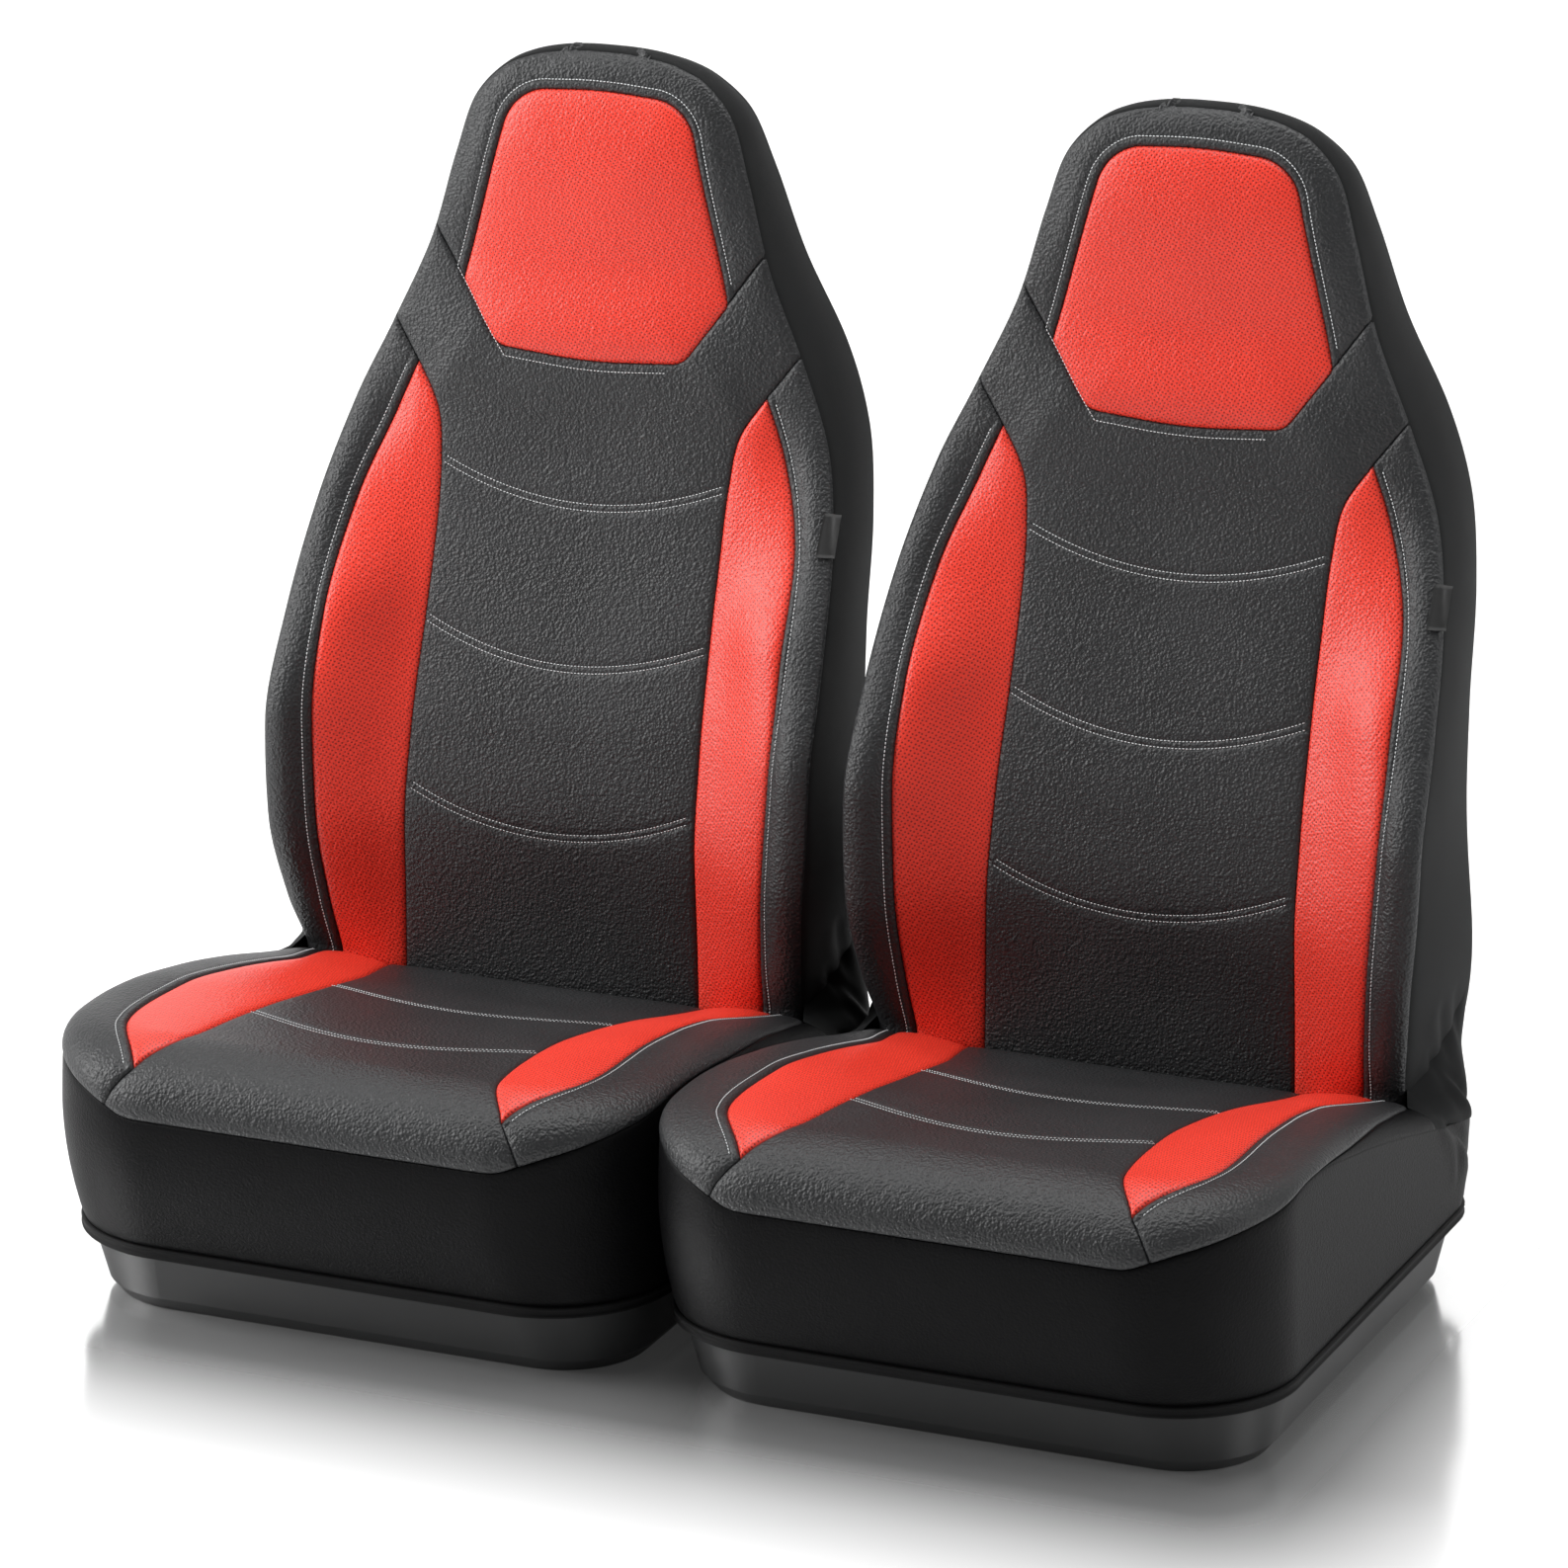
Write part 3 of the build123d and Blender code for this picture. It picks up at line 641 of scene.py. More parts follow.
EDGE_RIGHT = edge_path(BACK_TOP, WIDE)
EDGE = both_halves(EDGE_RIGHT)
REAR_FULL = both_halves(edge_path(REAR_TOP, REAR_X))
REAR_EDGE = offset(REAR_FULL, REAR_INSET)
HEAD = rounded(HEAD_CORNERS + [(-x, z, r) for x, z, r in HEAD_CORNERS[3:0:-1]])
OUTER_SEAM = curve(BACK_OUTER)
INNER_SEAM = curve(BACK_INNER)
TIP = OUTER_SEAM[-1]


def nearest(line, point):
    return int(np.argmin(np.linalg.norm(np.asarray(line) - np.asarray(point), axis=1)))


def straight(a, b):
    return resample(np.array([a, b], float), 1.0)


def between(line, a, b):
    """The stretch of a line between the points of it nearest to a and b."""
    i, j = nearest(line, a), nearest(line, b)
    return line[i:j + 1] if i <= j else line[j:i + 1][::-1]


SHOULDER_EDGE = EDGE_RIGHT[nearest(EDGE_RIGHT, SHOULDER_OUT)]
ARCH_EDGE = EDGE_RIGHT[nearest(EDGE_RIGHT, ARCH_OUT)]
HEAD_SIDE = HEAD[nearest(HEAD, HEAD_WIDEST)]
HEAD_SIDE_LEFT = flipped(HEAD_SIDE)
SHOULDER_SEAM = straight(TIP, SHOULDER_EDGE)
ARCH_SEAM = straight(HEAD_SIDE, ARCH_EDGE)


def head_run(a, b, over_top):
    """The stretch of the head panel's outline from a to b, over its top or under its bottom."""
    i, j = nearest(HEAD, a), nearest(HEAD, b)
    forward = HEAD[i:j + 1] if i <= j else np.vstack([HEAD[i:], HEAD[:j + 1]])
    backward = HEAD[j:i + 1][::-1] if j <= i else np.vstack([HEAD[j:], HEAD[:i + 1]])[::-1]
    wanted = max if over_top else min
    return wanted((forward, backward), key=lambda run: run[:, 1].max())


def bolster_outline():
    edge = between(EDGE_RIGHT, SHOULDER_EDGE, EDGE_RIGHT[0])
    return join(OUTER_SEAM, SHOULDER_SEAM, edge, straight(EDGE_RIGHT[0], OUTER_SEAM[0]))


def insert_outline():
    return join(OUTER_SEAM, INNER_SEAM[::-1], straight(INNER_SEAM[0], OUTER_SEAM[0]))


def surround_outline():
    over = between(EDGE, ARCH_EDGE, flipped(ARCH_EDGE))
    under = head_run(HEAD_SIDE_LEFT, HEAD_SIDE, True)
    return join(ARCH_SEAM, over, flipped(ARCH_SEAM)[::-1], under)


def centre_outline():
    right = [INNER_SEAM, SHOULDER_SEAM, between(EDGE_RIGHT, SHOULDER_EDGE, ARCH_EDGE), ARCH_SEAM[::-1]]
    left = [flipped(run)[::-1] for run in right[::-1]]
    under = head_run(HEAD_SIDE, HEAD_SIDE_LEFT, False)
    return join(*right, under, *left, straight(flipped(INNER_SEAM[0]), INNER_SEAM[0]))


def row_lines(rows):
    """Middles of the double rows of stitching, which sag between their ends."""
    x = np.linspace(-ROW_HALF_WIDTH, ROW_HALF_WIDTH, 120)
    return [np.stack([x, at - sag * (1 - (x / ROW_HALF_WIDTH) ** 2)], 1) for at, sag in rows]


# ---- Materials ----

def node_material(name):
    material = bpy.data.materials.new(name)
    material.use_nodes = True
    tree = material.node_tree
    return material, tree, tree.nodes["Principled BSDF"]


def add(tree, kind, values=None, **settings):
    node = tree.nodes.new(kind)
    for key, value in settings.items():
        setattr(node, key, value)
    for key, value in (values or {}).items():
        node.inputs[key].default_value = value
    return node


def ramp(tree, source, stops):
    node = add(tree, "ShaderNodeValToRGB")
    elements = node.color_ramp.elements
    for element, (position, colour) in zip(elements, stops):
        element.position = position
        element.color = colour
    tree.links.new(source, node.inputs["Fac"])
    return node.outputs["Color"]


def bump(tree, shader, height, strength, depth, before=None):
    node = add(tree, "ShaderNodeBump", {"Strength": strength, "Distance": depth})
    tree.links.new(height, node.inputs["Height"])
    if before is not None:
        tree.links.new(before, node.inputs["Normal"])
    tree.links.new(node.outputs["Normal"], shader.inputs["Normal"])
    return node.outputs["Normal"]


def rgb(red, green, blue):
    return (red, green, blue, 1.0)


def grey(value):
    return rgb(value, value, value)


def texture(tree, kind, coords, values, output, **settings):
    node = add(tree, kind, values, **settings)
    tree.links.new(coords, node.inputs["Vector"])
    return node.outputs[output]


def object_coords(tree):
    return add(tree, "ShaderNodeTexCoord").outputs["Object"]


def noise(tree, scale, detail=2.0):
    values = {"Scale": scale, "Detail": detail}
    return texture(tree, "ShaderNodeTexNoise", object_coords(tree), values, "Fac")


def grain(tree, shader, strength):
    """Leather grain: small pebbles broken up by creases of two sizes."""
    cells = texture(
        tree, "ShaderNodeTexVoronoi", object_coords(tree), {"Scale": 430.0, "Randomness": 1.0}, "Distance",
        feature="SMOOTH_F1",
    )
    mixed = add(tree, "ShaderNodeMath", operation="ADD")
    tree.links.new(cells, mixed.inputs[0])
    tree.links.new(noise(tree, 240.0, 3.0), mixed.inputs[1])
    return bump(tree, shader, mixed.outputs[0], strength, 0.0012)


def black_leatherette():
    material, tree, shader = node_material("black_leatherette")
    broad = noise(tree, 9.0, 4.0)
    colour = ramp(tree, broad, [(0.3, rgb(0.014, 0.0146, 0.0156)), (0.75, rgb(0.020, 0.0208, 0.0222))])
    tree.links.new(colour, shader.inputs["Base Color"])
    tree.links.new(ramp(tree, broad, [(0.3, grey(0.44)), (0.8, grey(0.52))]), shader.inputs["Roughness"])
    shader.inputs["Specular IOR Level"].default_value = 0.5
    grain(tree, shader, 0.8)
    return material


def red_leatherette():
    """Red leatherette with slanting rows of small holes, laid out on the flat panel."""
    material, tree, shader = node_material("red_leatherette")
    shades = [(0.3, rgb(0.80, 0.040, 0.020)), (0.75, rgb(0.88, 0.050, 0.026))]
    red = ramp(tree, noise(tree, 11.0, 3.0), shades)
    flat = add(tree, "ShaderNodeUVMap", uv_map="flat").outputs["UV"]
    slant = {"Rotation": (0, 0, math.radians(28)), "Scale": (30.0, 30.0, 1.0)}
    turned = texture(tree, "ShaderNodeMapping", flat, slant, "Vector")
    holes = texture(
        tree, "ShaderNodeTexVoronoi", turned, {"Scale": 1.0, "Randomness": 0.22}, "Distance",
        voronoi_dimensions="2D", feature="F1",
    )
    mix = add(tree, "ShaderNodeMix", data_type="RGBA")
    tree.links.new(ramp(tree, holes, [(0.16, grey(1.0)), (0.27, grey(0.0))]), mix.inputs["Factor"])
    tree.links.new(red, mix.inputs["A"])
    mix.inputs["B"].default_value = rgb(0.20, 0.006, 0.004)
    tree.links.new(mix.outputs["Result"], shader.inputs["Base Color"])
    shader.inputs["Roughness"].default_value = 0.42
    shader.inputs["Specular IOR Level"].default_value = 0.5
    bump(tree, shader, holes, 0.25, 0.0008, grain(tree, shader, 0.45))
    return material


def knit(name, dark, light, scale, rough, strength, sheen, shine=0.5):
    """Stretch fabric: a fine mottled knit with a soft nap."""
    material, tree, shader = node_material(name)
    colour = ramp(tree, noise(tree, 14.0, 5.0), [(0.3, dark), (0.75, light)])
    tree.links.new(colour, shader.inputs["Base Color"])
    shader.inputs["Roughness"].default_value = rough
    shader.inputs["Sheen Weight"].default_value = sheen
    shader.inputs["Sheen Roughness"].default_value = 0.45
    shader.inputs["Specular IOR Level"].default_value = shine
    bump(tree, shader, noise(tree, scale, 4.0), strength, 0.0007)
    return material


def plastic():
    material, tree, shader = node_material("plinth_plastic")
    shades = [(0.3, rgb(0.015, 0.0156, 0.016)), (0.7, rgb(0.019, 0.0196, 0.020))]
    tree.links.new(ramp(tree, noise(tree, 6.0), shades), shader.inputs["Base Color"])
    shader.inputs["Roughness"].default_value = 0.5
    bump(tree, shader, noise(tree, 1500.0), 0.12, 0.0004)
    return material


def steel(name, colour, rough, metallic):
    material, tree, shader = node_material(name)
    shader.inputs["Base Color"].default_value = colour
    shader.inputs["Metallic"].default_value = metallic
    wear = noise(tree, 60.0, 6.0)
    worn = ramp(tree, wear, [(0.3, grey(rough)), (0.7, grey(rough + 0.12))])
    tree.links.new(worn, shader.inputs["Roughness"])
    bump(tree, shader, wear, 0.08, 0.0005)
    return material


def thread():
    material, tree, shader = node_material("thread")
    shades = [(0.3, rgb(0.62, 0.64, 0.65)), (0.7, rgb(0.80, 0.82, 0.83))]
    tree.links.new(ramp(tree, noise(tree, 2500.0), shades), shader.inputs["Base Color"])
    shader.inputs["Roughness"].default_value = 0.6
    return material


# Fabrics: dark and light shade, scale of the knit, roughness, strength of its relief, sheen and specular
FABRICS = {
    "stretch_fabric": (rgb(0.01, 0.0104, 0.0106), rgb(0.015, 0.0155, 0.0158), 1300.0, 0.7, 0.35, 0.01, 0.12),
    "skirt_fabric": (rgb(0.0022, 0.0022, 0.0025), rgb(0.0034, 0.0034, 0.0038), 420.0, 0.5, 0.9, 0.0, 0.10),
    "hem_fabric": (rgb(0.004, 0.004, 0.0042), rgb(0.006, 0.006, 0.0063), 1500.0, 0.6, 0.3, 0.0, 0.15),
    "tag_fabric": (grey(0.006), grey(0.009), 2500.0, 0.6, 0.3, 0.05),
    "foam": (rgb(0.5, 0.46, 0.33), rgb(0.62, 0.57, 0.42), 400.0, 0.9, 0.8, 0.0),
    "elastic": (grey(0.02), grey(0.03), 1200.0, 0.7, 0.5, 0.0),
}
MATERIALS = {
    "black_leatherette": black_leatherette(),
    "red_leatherette": red_leatherette(),
    "plinth_plastic": plastic(),
    "painted_steel": steel("painted_steel", rgb(0.02, 0.02, 0.021), 0.45, 0.0),
    "bright_steel": steel("bright_steel", grey(0.6), 0.28, 1.0),
    "thread": thread(),
}
MATERIALS.update((name, knit(name, *look)) for name, look in FABRICS.items())


def dress(obj, slot):
    obj.data.materials.clear()
    obj.data.materials.append(MATERIALS[slot])


# ---- Stitching ----

def stitches(name, runs):
    """Rows of thread. Each run is a flat line, its surface and the lift of that surface along it."""
    points, faces = [], []
    sides, rings = 6, len(THREAD_TAPER)
    around = np.linspace(0, 2 * math.pi, sides, endpoint=False)
    round_x, round_y = (wave(around)[None, None, :, None] for wave in (np.cos, np.sin))
    one = grid_faces(rings, sides, closed=True)
    one += [tuple(range(sides))[::-1], tuple((rings - 1) * sides + i for i in range(sides))]
    for line, surface, lift in runs:
        line = resample(line, 0.5)
        run = lengths(line)
        starts = np.arange(1.5, run[-1] - STITCH_PITCH, STITCH_PITCH)
        spots, normals = [], []
        for share in np.arange(rings) / (rings - 1):
            flat = sample(line, run, starts + STITCH_LENGTH * share)
            arch = 0.75 * math.sin(math.pi * share) ** 0.6 - 0.35
            spot, normal = surface(flat, lift(flat) + arch)
            spots.append(spot)
            normals.append(normal)
        spots = np.stack(spots, 1)
        along = unit(np.gradient(spots, axis=1))
        side = unit(np.cross(along, np.stack(normals, 1)))
        up = np.cross(side, along)
        radius = THREAD_RADIUS * THREAD_TAPER[None, :, None, None]
        ring = (side[:, :, None, :] * round_x + up[:, :, None, :] * round_y * 0.8) * radius
        tube = (spots[:, :, None, :] + ring).reshape(-1, 3)
        base = sum(len(p) for p in points)
        for i in range(len(starts)):
            shift = base + i * rings * sides
            faces += [tuple(v + shift for v in f) for f in one]
        points.append(tube)
    return finish_mesh(name, np.vstack(points), faces)


# ---- Panels ----

def soft_panel(name, outline, surface, lift, lines=(), grid=6.0):
    """A cover panel: its flat outline raised by lift over a surface, which takes it into place."""
    flat, faces, rim = scatter(outline, (0.7, 1.7, 3.2, 5.5), grid, lines)
    edge = distance(flat, rim, True)
    points, normals = surface(flat, lift(flat, edge))
    return build(name + "_cover", points, faces, normals, flat)


def crown(edge, height, width):
    return height * (1 - np.exp(-edge / width))


def level(height):
    return lambda flat: np.full(len(flat), height)


def centre_panel(name, outline, surface, rows, height, width):
    """A centre panel crossed by double rows of stitching, with the runs of those rows."""
    lines = row_lines(rows)
    pairs = [offset(line, gap) for line in lines for gap in (-ROW_GAP / 2, ROW_GAP / 2)]

    def lift(flat, edge):
        rise = seam_dip(edge) + crown(edge, height, width)
        for line in pairs:
            rise = rise + stitch_dip(distance(flat, line), 1.0, 1.6)
        return rise

    def on_panel(flat):
        return crown(distance(flat, outline, True), height, width) - 0.8

    piece = soft_panel(name, outline, surface, lift, [(line, TWO_ROWS) for line in lines])
    return piece, [(line, surface, on_panel) for line in pairs]


def side_panels(seat, part, insert, bolster, seam, row, surface, height, width):
    """The inserts and topstitched bolsters of both sides, from the right one's outlines, with their runs."""
    pieces, runs = {}, []

    def insert_lift(flat, edge):
        return seam_dip(edge) + crown(edge, height, width)

    for side, turn in (("l", flipped), ("r", np.asarray)):
        def bolster_lift(flat, edge, seam=turn(seam), row=turn(row)):
            ribs = seam_dip(edge) + welt(distance(flat, seam)) + stitch_dip(distance(flat, row))
            return ribs + crown(edge, 2.0, 10.0)

        for kind, outline, lift, lines in (
            ("insert", insert, insert_lift, []), ("bolster", bolster, bolster_lift, [(turn(row), ONE_ROW)])
        ):
            name = f"{part}_{kind}_{side}"
            pieces[name] = soft_panel(f"{seat}_{name}", turn(outline), surface, lift, lines)
        runs.append((turn(row)[:-4], surface, level(1.2)))
    return pieces, runs


def make_back(seat):
    pieces = {}
    head_top = head_run(HEAD_SIDE_LEFT, HEAD_SIDE, True)
    head_row = outside_of_head(TOPSTITCH_IN)

    def head_lift(flat, edge):
        return seam_dip(edge) + crown(edge, 5.0, 26.0)

    def surround_lift(flat, edge):
        ribs = seam_dip(edge) + welt(distance(flat, head_top)) + stitch_dip(distance(flat, head_row))
        return ribs + crown(edge, 1.5, 12.0)

    def rear_lift(flat, edge):
        return seam_dip(edge, 1.6, 1.6) + crown(edge, 1.0, 12.0)

    pieces["head_insert"] = soft_panel(seat + "_head_insert", HEAD, back_surface, head_lift)
    pieces["head_surround"] = soft_panel(
        seat + "_head_surround", surround_outline(), back_surface, surround_lift, [(head_row, ONE_ROW)]
    )
    pieces["back_centre"], centre_runs = centre_panel(
        seat + "_back_centre", centre_outline(), back_surface, BACK_ROWS_Z, 3.0, 30.0
    )
    sides, side_runs = side_panels(
        seat, "back", insert_outline(), bolster_outline(), OUTER_SEAM, offset(OUTER_SEAM, -TOPSTITCH_IN),
        back_surface, 4.0, 16.0,
    )
    pieces.update(sides)
    rear_outline = join(REAR_EDGE, straight(REAR_EDGE[-1], REAR_EDGE[0]))
    pieces["rear_panel"] = soft_panel(seat + "_rear_panel", rear_outline, rear_surface, rear_lift, grid=9.0)
    pieces["back_gusset"] = make_gusset(seat)
    return pieces, [(head_row[6:-6], back_surface, level(1.1)), *centre_runs, *side_runs]


def outside_of_head(gap):
    """A line beside the head panel's outline, from one diagonal seam over the top to the other."""
    ring = offset(HEAD, gap, closed=True)
    if ring[:, 1].max() < HEAD[:, 1].max():
        ring = offset(HEAD, -gap, closed=True)
    slope = (ARCH_EDGE[1] - HEAD_SIDE[1]) / (ARCH_EDGE[0] - HEAD_SIDE[0])
    above = ring[:, 1] > HEAD_SIDE[1] + slope * (np.abs(ring[:, 0]) - HEAD_SIDE[0]) + 1.0
    start = nearest(ring, HEAD_SIDE_LEFT)
    ordered = np.roll(ring, -start, axis=0)
    keep = np.roll(above, -start)
    run = ordered[keep]
    jump = np.argmax(np.linalg.norm(np.diff(run, axis=0), axis=1))
    if np.linalg.norm(run[jump + 1] - run[jump]) > 5:
        run = np.vstack([run[jump + 1:], run[:jump + 1]])
    return run


def fold_rise(y, z):
    """Height of the soft folds that fan out from the end of the crease, each a groove beside a ridge."""
    spots = np.stack([y, z], 1)
    rise = np.zeros(len(spots))
    for points, height, width in FOLDS:
        line = curve(points, 3.0)
        along = unit(np.gradient(line, axis=0))
        near = ((spots[:, None] - line[None]) ** 2).sum(-1).argmin(1)
        gap = spots - line[near]
        side = along[near, 0] * gap[:, 1] - along[near, 1] * gap[:, 0]
        fade = np.sin(math.pi * near / (len(line) - 1)) ** 0.7
        groove = np.exp(-(side / width) ** 2)
        ridge = np.exp(-((side + 1.9 * width) / (1.5 * width)) ** 2)
        rise += height * fade * (0.75 * ridge - groove)
    return rise


def gusset_rise(y, z, share):
    """How far the gusset stands out from the straight line between its two seams."""
    share = np.clip(share, 0, 1)
    puff = GUSSET_PUFF * np.sin(math.pi * share) ** 0.8
    return puff + gusset_bulge(z) * share ** 0.7 + fold_rise(y, z)


def gusset_bulge(z):
    """Extra fullness of the gusset at the lower back."""
    return GUSSET_BULGE * np.exp(-((z - BULGE_HEIGHT) / BULGE_SPAN) ** 2)


def gusset_side(y, z):
    """Half width of the gusset's side at a depth and height."""
    front_x, front_y, rear_x, rear_y = back_guides(z, WIDE, EDGE_Y, REAR_X, REAR_Y)
    share = np.clip((y - front_y) / (rear_y - REAR_ROUND - front_y), 0, 1)
    return front_x + (rear_x - front_x) * share + gusset_rise(y, z, share)


def make_gusset(seat):
    """The strip of stretch fabric round the backrest's sides and top."""
    edge = resample(EDGE, GUSSET_PITCH)
    rear = resample(REAR_FULL, GUSSET_PITCH)
    rear = sample(rear, np.linspace(0, 1, len(rear)), np.linspace(0, 1, len(edge)))
    front_y = back_guides(edge[:, 1], EDGE_Y)[0]
    rear_y = back_guides(rear[:, 1], REAR_Y)[0]
    inward = offset(rear, 1.0) - rear
    outward = edge - offset(edge, 1.0)
    rows = []
    for t in np.concatenate([[0, 0.004, 0.012, 0.03], np.linspace(0.06, 1, 28)]):
        flat = edge + (rear - edge) * t
        y = front_y + (rear_y - REAR_ROUND - front_y) * t
        rise = gusset_rise(y, flat[:, 1], t) + seam_dip(t * 100, 2.0, 2.0)
        flat = flat + outward * rise[:, None]
        rows.append(round_heel(flat[:, 0], y, flat[:, 1], HEEL_RADIUS))
    for angle in np.radians([10, 20, 30, 40, 45]):
        bulge = gusset_bulge(rear[:, 1]) * math.cos(2 * angle)
        flat = rear + inward * (REAR_ROUND * (1 - math.cos(angle)) - bulge)[:, None]
        y = rear_y - REAR_ROUND * (1 - math.sin(angle))
        rows.append(round_heel(flat[:, 0], y, flat[:, 1], HEEL_RADIUS))
    points = np.vstack(rows)
    columns = len(edge)
    across = np.linspace(0, 110, len(rows))
    flat = np.stack([np.tile(np.arange(columns) * GUSSET_PITCH, len(rows)), np.repeat(across, columns)], 1)
    normals = unit((points - np.array([0.0, 0.0, 560.0])) * np.array([1, 0, 1]))
    faces = grid_faces(len(rows), columns)
    return build(seat + "_back_gusset_cover", points, faces, normals, flat, flange=4.0)


def make_cushion(seat):
    outer, inner = (
        resample(unroll(resample(curve(seam), 2.0)), 1.0) for seam in (CUSHION_OUTER, CUSHION_INNER)
    )
    rim = cushion_rim()
    nose_end = rim[nearest(rim, unroll([NOSE_SEAM_END])[0])]
    nose_seam = straight(outer[-1], nose_end)
    front_rim = between(rim, nose_end, flipped(nose_end))
    side_rim = between(rim, rim[0], nose_end)
    centre = join(
        inner, nose_seam, front_rim, flipped(nose_seam)[::-1], flipped(inner)[::-1],
        straight(flipped(inner[0]), inner[0]),
    )
    insert = join(outer, inner[::-1], straight(inner[0], outer[0]))
    bolster = join(outer, nose_seam, side_rim[::-1], straight(rim[0], outer[0]))
    piece, centre_runs = centre_panel(
        seat + "_cushion_centre", centre, cushion_surface, CUSHION_ROWS_Y, 2.5, 25.0
    )
    sides, side_runs = side_panels(
        seat, "cushion", insert, bolster, outer, offset(outer, TOPSTITCH_IN), cushion_surface, 3.5, 14.0
    )
    return {"cushion_centre": piece, **sides}, centre_runs + side_runs


def leather_edge(y):
    """Flat half width of the cushion's leather at a depth."""
    angle = cubic(y, LEATHER_REACH[:, 0], LEATHER_REACH[:, 1])
    return SHOULDER_FOOT - SIDE_ARC + SIDE_ARC * angle / 90


def cushion_rim():
    """Lower edge of the cushion's leather on the flat panel, from the right rear round the nose."""
    more = (NOSE_ARC - NOSE_ROLL) - (SIDE_ARC - SIDE_ROLL)
    depths = np.linspace(CUSHION_END, CORE_Y, 200)
    right = [np.array([x, y]) for x, y in zip(leather_edge(depths), depths)]
    corner = [
        np.array([CORE_X, CORE_Y])
        + (FLANK + more * math.sin(a) ** 2) * np.array([math.cos(a), -math.sin(a)])
        for a in np.linspace(0, math.pi / 2, 120)
    ]
    half = np.vstack([right, corner])
    return resample(np.vstack([half, flipped(half)[::-1]]), 1.0)


# ---- Skirt, hem, hips and rear flap ----

def plan_path(plan):
    """Closed plan outline from the rear middle, round the right side first."""
    wide, front, rear, r, q = (plan[key] for key in ("wide", "front", "rear", "corner", "rear_corner"))
    quarter = math.pi / 2
    half = [(x, rear) for x in np.linspace(0, wide - q, 26, endpoint=False)]
    half += [
        (wide - q + q * math.sin(a), rear - q + q * math.cos(a)) for a in np.linspace(0, quarter, 14)
    ]
    half += [(wide, y) for y in np.linspace(rear - q, front + r, 100)[1:]]
    half += [
        (wide - r + r * math.cos(a), front + r - r * math.sin(a)) for a in np.linspace(0, quarter, 26)[1:]
    ]
    half += [(x, front) for x in np.linspace(wide - r, 0, 20)[1:]]
    return np.vstack([half, flipped(half)[::-1][1:-1]])


def seam_height(y):
    return cubic(np.asarray(y, float), SIDE_SEAM[:, 0], SIDE_SEAM[:, 1])


def make_skirt(seat):
    """The skirt from the hem up to the leather's edge, with the two shoulders beside the cushion."""
    upper, lower = plan_path(PLAN), plan_path(HEM)
    foot = HEM_TOP - 1
    top = seam_height(upper[:, 1])
    sewn = np.clip((-130 - upper[:, 1]) / 40, 0, 1)
    rows = []
    shares = np.concatenate([[0, 0.008, 0.02, 0.05], np.linspace(0.1, 0.94, 22), [0.97, 0.985, 1.0]])
    for t in shares[::-1]:
        z = foot + (top - HEM_TOP + 1) * t
        drop = np.clip((SKIRT_STRAIGHT - z) / (SKIRT_STRAIGHT - HEM_TOP), 0, 1)
        plan = upper + (lower - upper) * (drop ** 1.7)[:, None]
        out = unit(plan - PLAN_CENTRE)
        puff = 2.0 * math.sin(math.pi * t) + sewn * seam_dip((1 - t) * 120, 1.8, 2.0)
        puff = puff + seam_dip(t * 110, 1.5, 2.5)
        beside = np.abs(out[:, 0]) * math.sin(math.pi * min(t + 0.5, 1) / 2) * (1 - (1 - t) ** 4)
        puff = puff + beside * fold_rise(plan[:, 1], z)
        rows.append(np.column_stack([plan + out * puff[:, None], z]))
    columns = len(upper)
    points = np.vstack(rows)
    flat = np.stack([np.tile(lengths(upper), len(rows)), points[:, 2]], 1)
    normals = unit((points - np.array([0.0, PLAN_CENTRE[1], 0.0])) * np.array([1, 1, 0]))
    faces = grid_faces(len(rows), columns, True)
    for sign in (1, -1):
        spots, ups, sheet = shoulder(sign)
        faces += [tuple(v + len(points) for v in f) for f in grid_faces(SHOULDER_ROWS, SHOULDER_COLUMNS)]
        points = np.vstack([points, spots])
        normals = np.vstack([normals, ups])
        flat = np.vstack([flat, sheet])
    return build(seat + "_skirt_cover", points, faces, normals, flat, flange=3.0)


def shoulder(sign):
    """The fabric that comes up over the cushion's side roll to the leather's edge."""
    depths = np.linspace(SHOULDER_START, SHOULDER_END, SHOULDER_COLUMNS)
    edge = leather_edge(depths)
    width = SHOULDER_FOOT - edge
    spots, ups, sheet = [], [], []
    for share in np.concatenate([[0, 0.02, 0.06, 0.12], np.linspace(0.2, 1, SHOULDER_ROWS - 4)]):
        flat = np.stack([edge + width * share, depths], 1)
        spot, up = cushion_surface(flat, seam_dip(width * share) * np.clip(width / 6, 0, 1))
        spots.append(mirrored(spot, sign))
        ups.append(mirrored(up, sign))
        sheet.append(flat)
    return np.vstack(spots), np.vstack(ups), np.vstack(sheet)


def make_hem(seat):
    """A bound hem: two thin ribs with the elastic's channel between them."""
    plan = plan_path(HEM)
    out = unit(plan - PLAN_CENTRE)
    r = HEM_RIB_RADIUS
    profile = [(0.0, 0.5)]
    for middle in HEM_RIBS:
        profile += [
            (0.6 + 1.5 * math.sin(a), middle + r * math.cos(a)) for a in np.radians([20, 55, 90, 125, 160])
        ]
    profile += [(0.2, -10.4), (-3.0, -10.6), (-3.0, 1.0)]
    rows = [np.column_stack([plan + out * x, np.full(len(plan), HEM_TOP - 1 + z)]) for x, z in profile]
    count = len(plan)
    flat = np.stack([np.tile(lengths(plan), len(rows)), np.repeat(np.arange(len(rows)) * 2.0, count)], 1)
    faces = grid_faces(len(rows), count, True)
    last = (len(rows) - 1) * count
    faces += [(last + c, last + (c + 1) % count, (c + 1) % count, c) for c in range(count)]
    return finish_mesh(seat + "_hem_band_cover", np.vstack(rows), [f[::-1] for f in faces], flat)


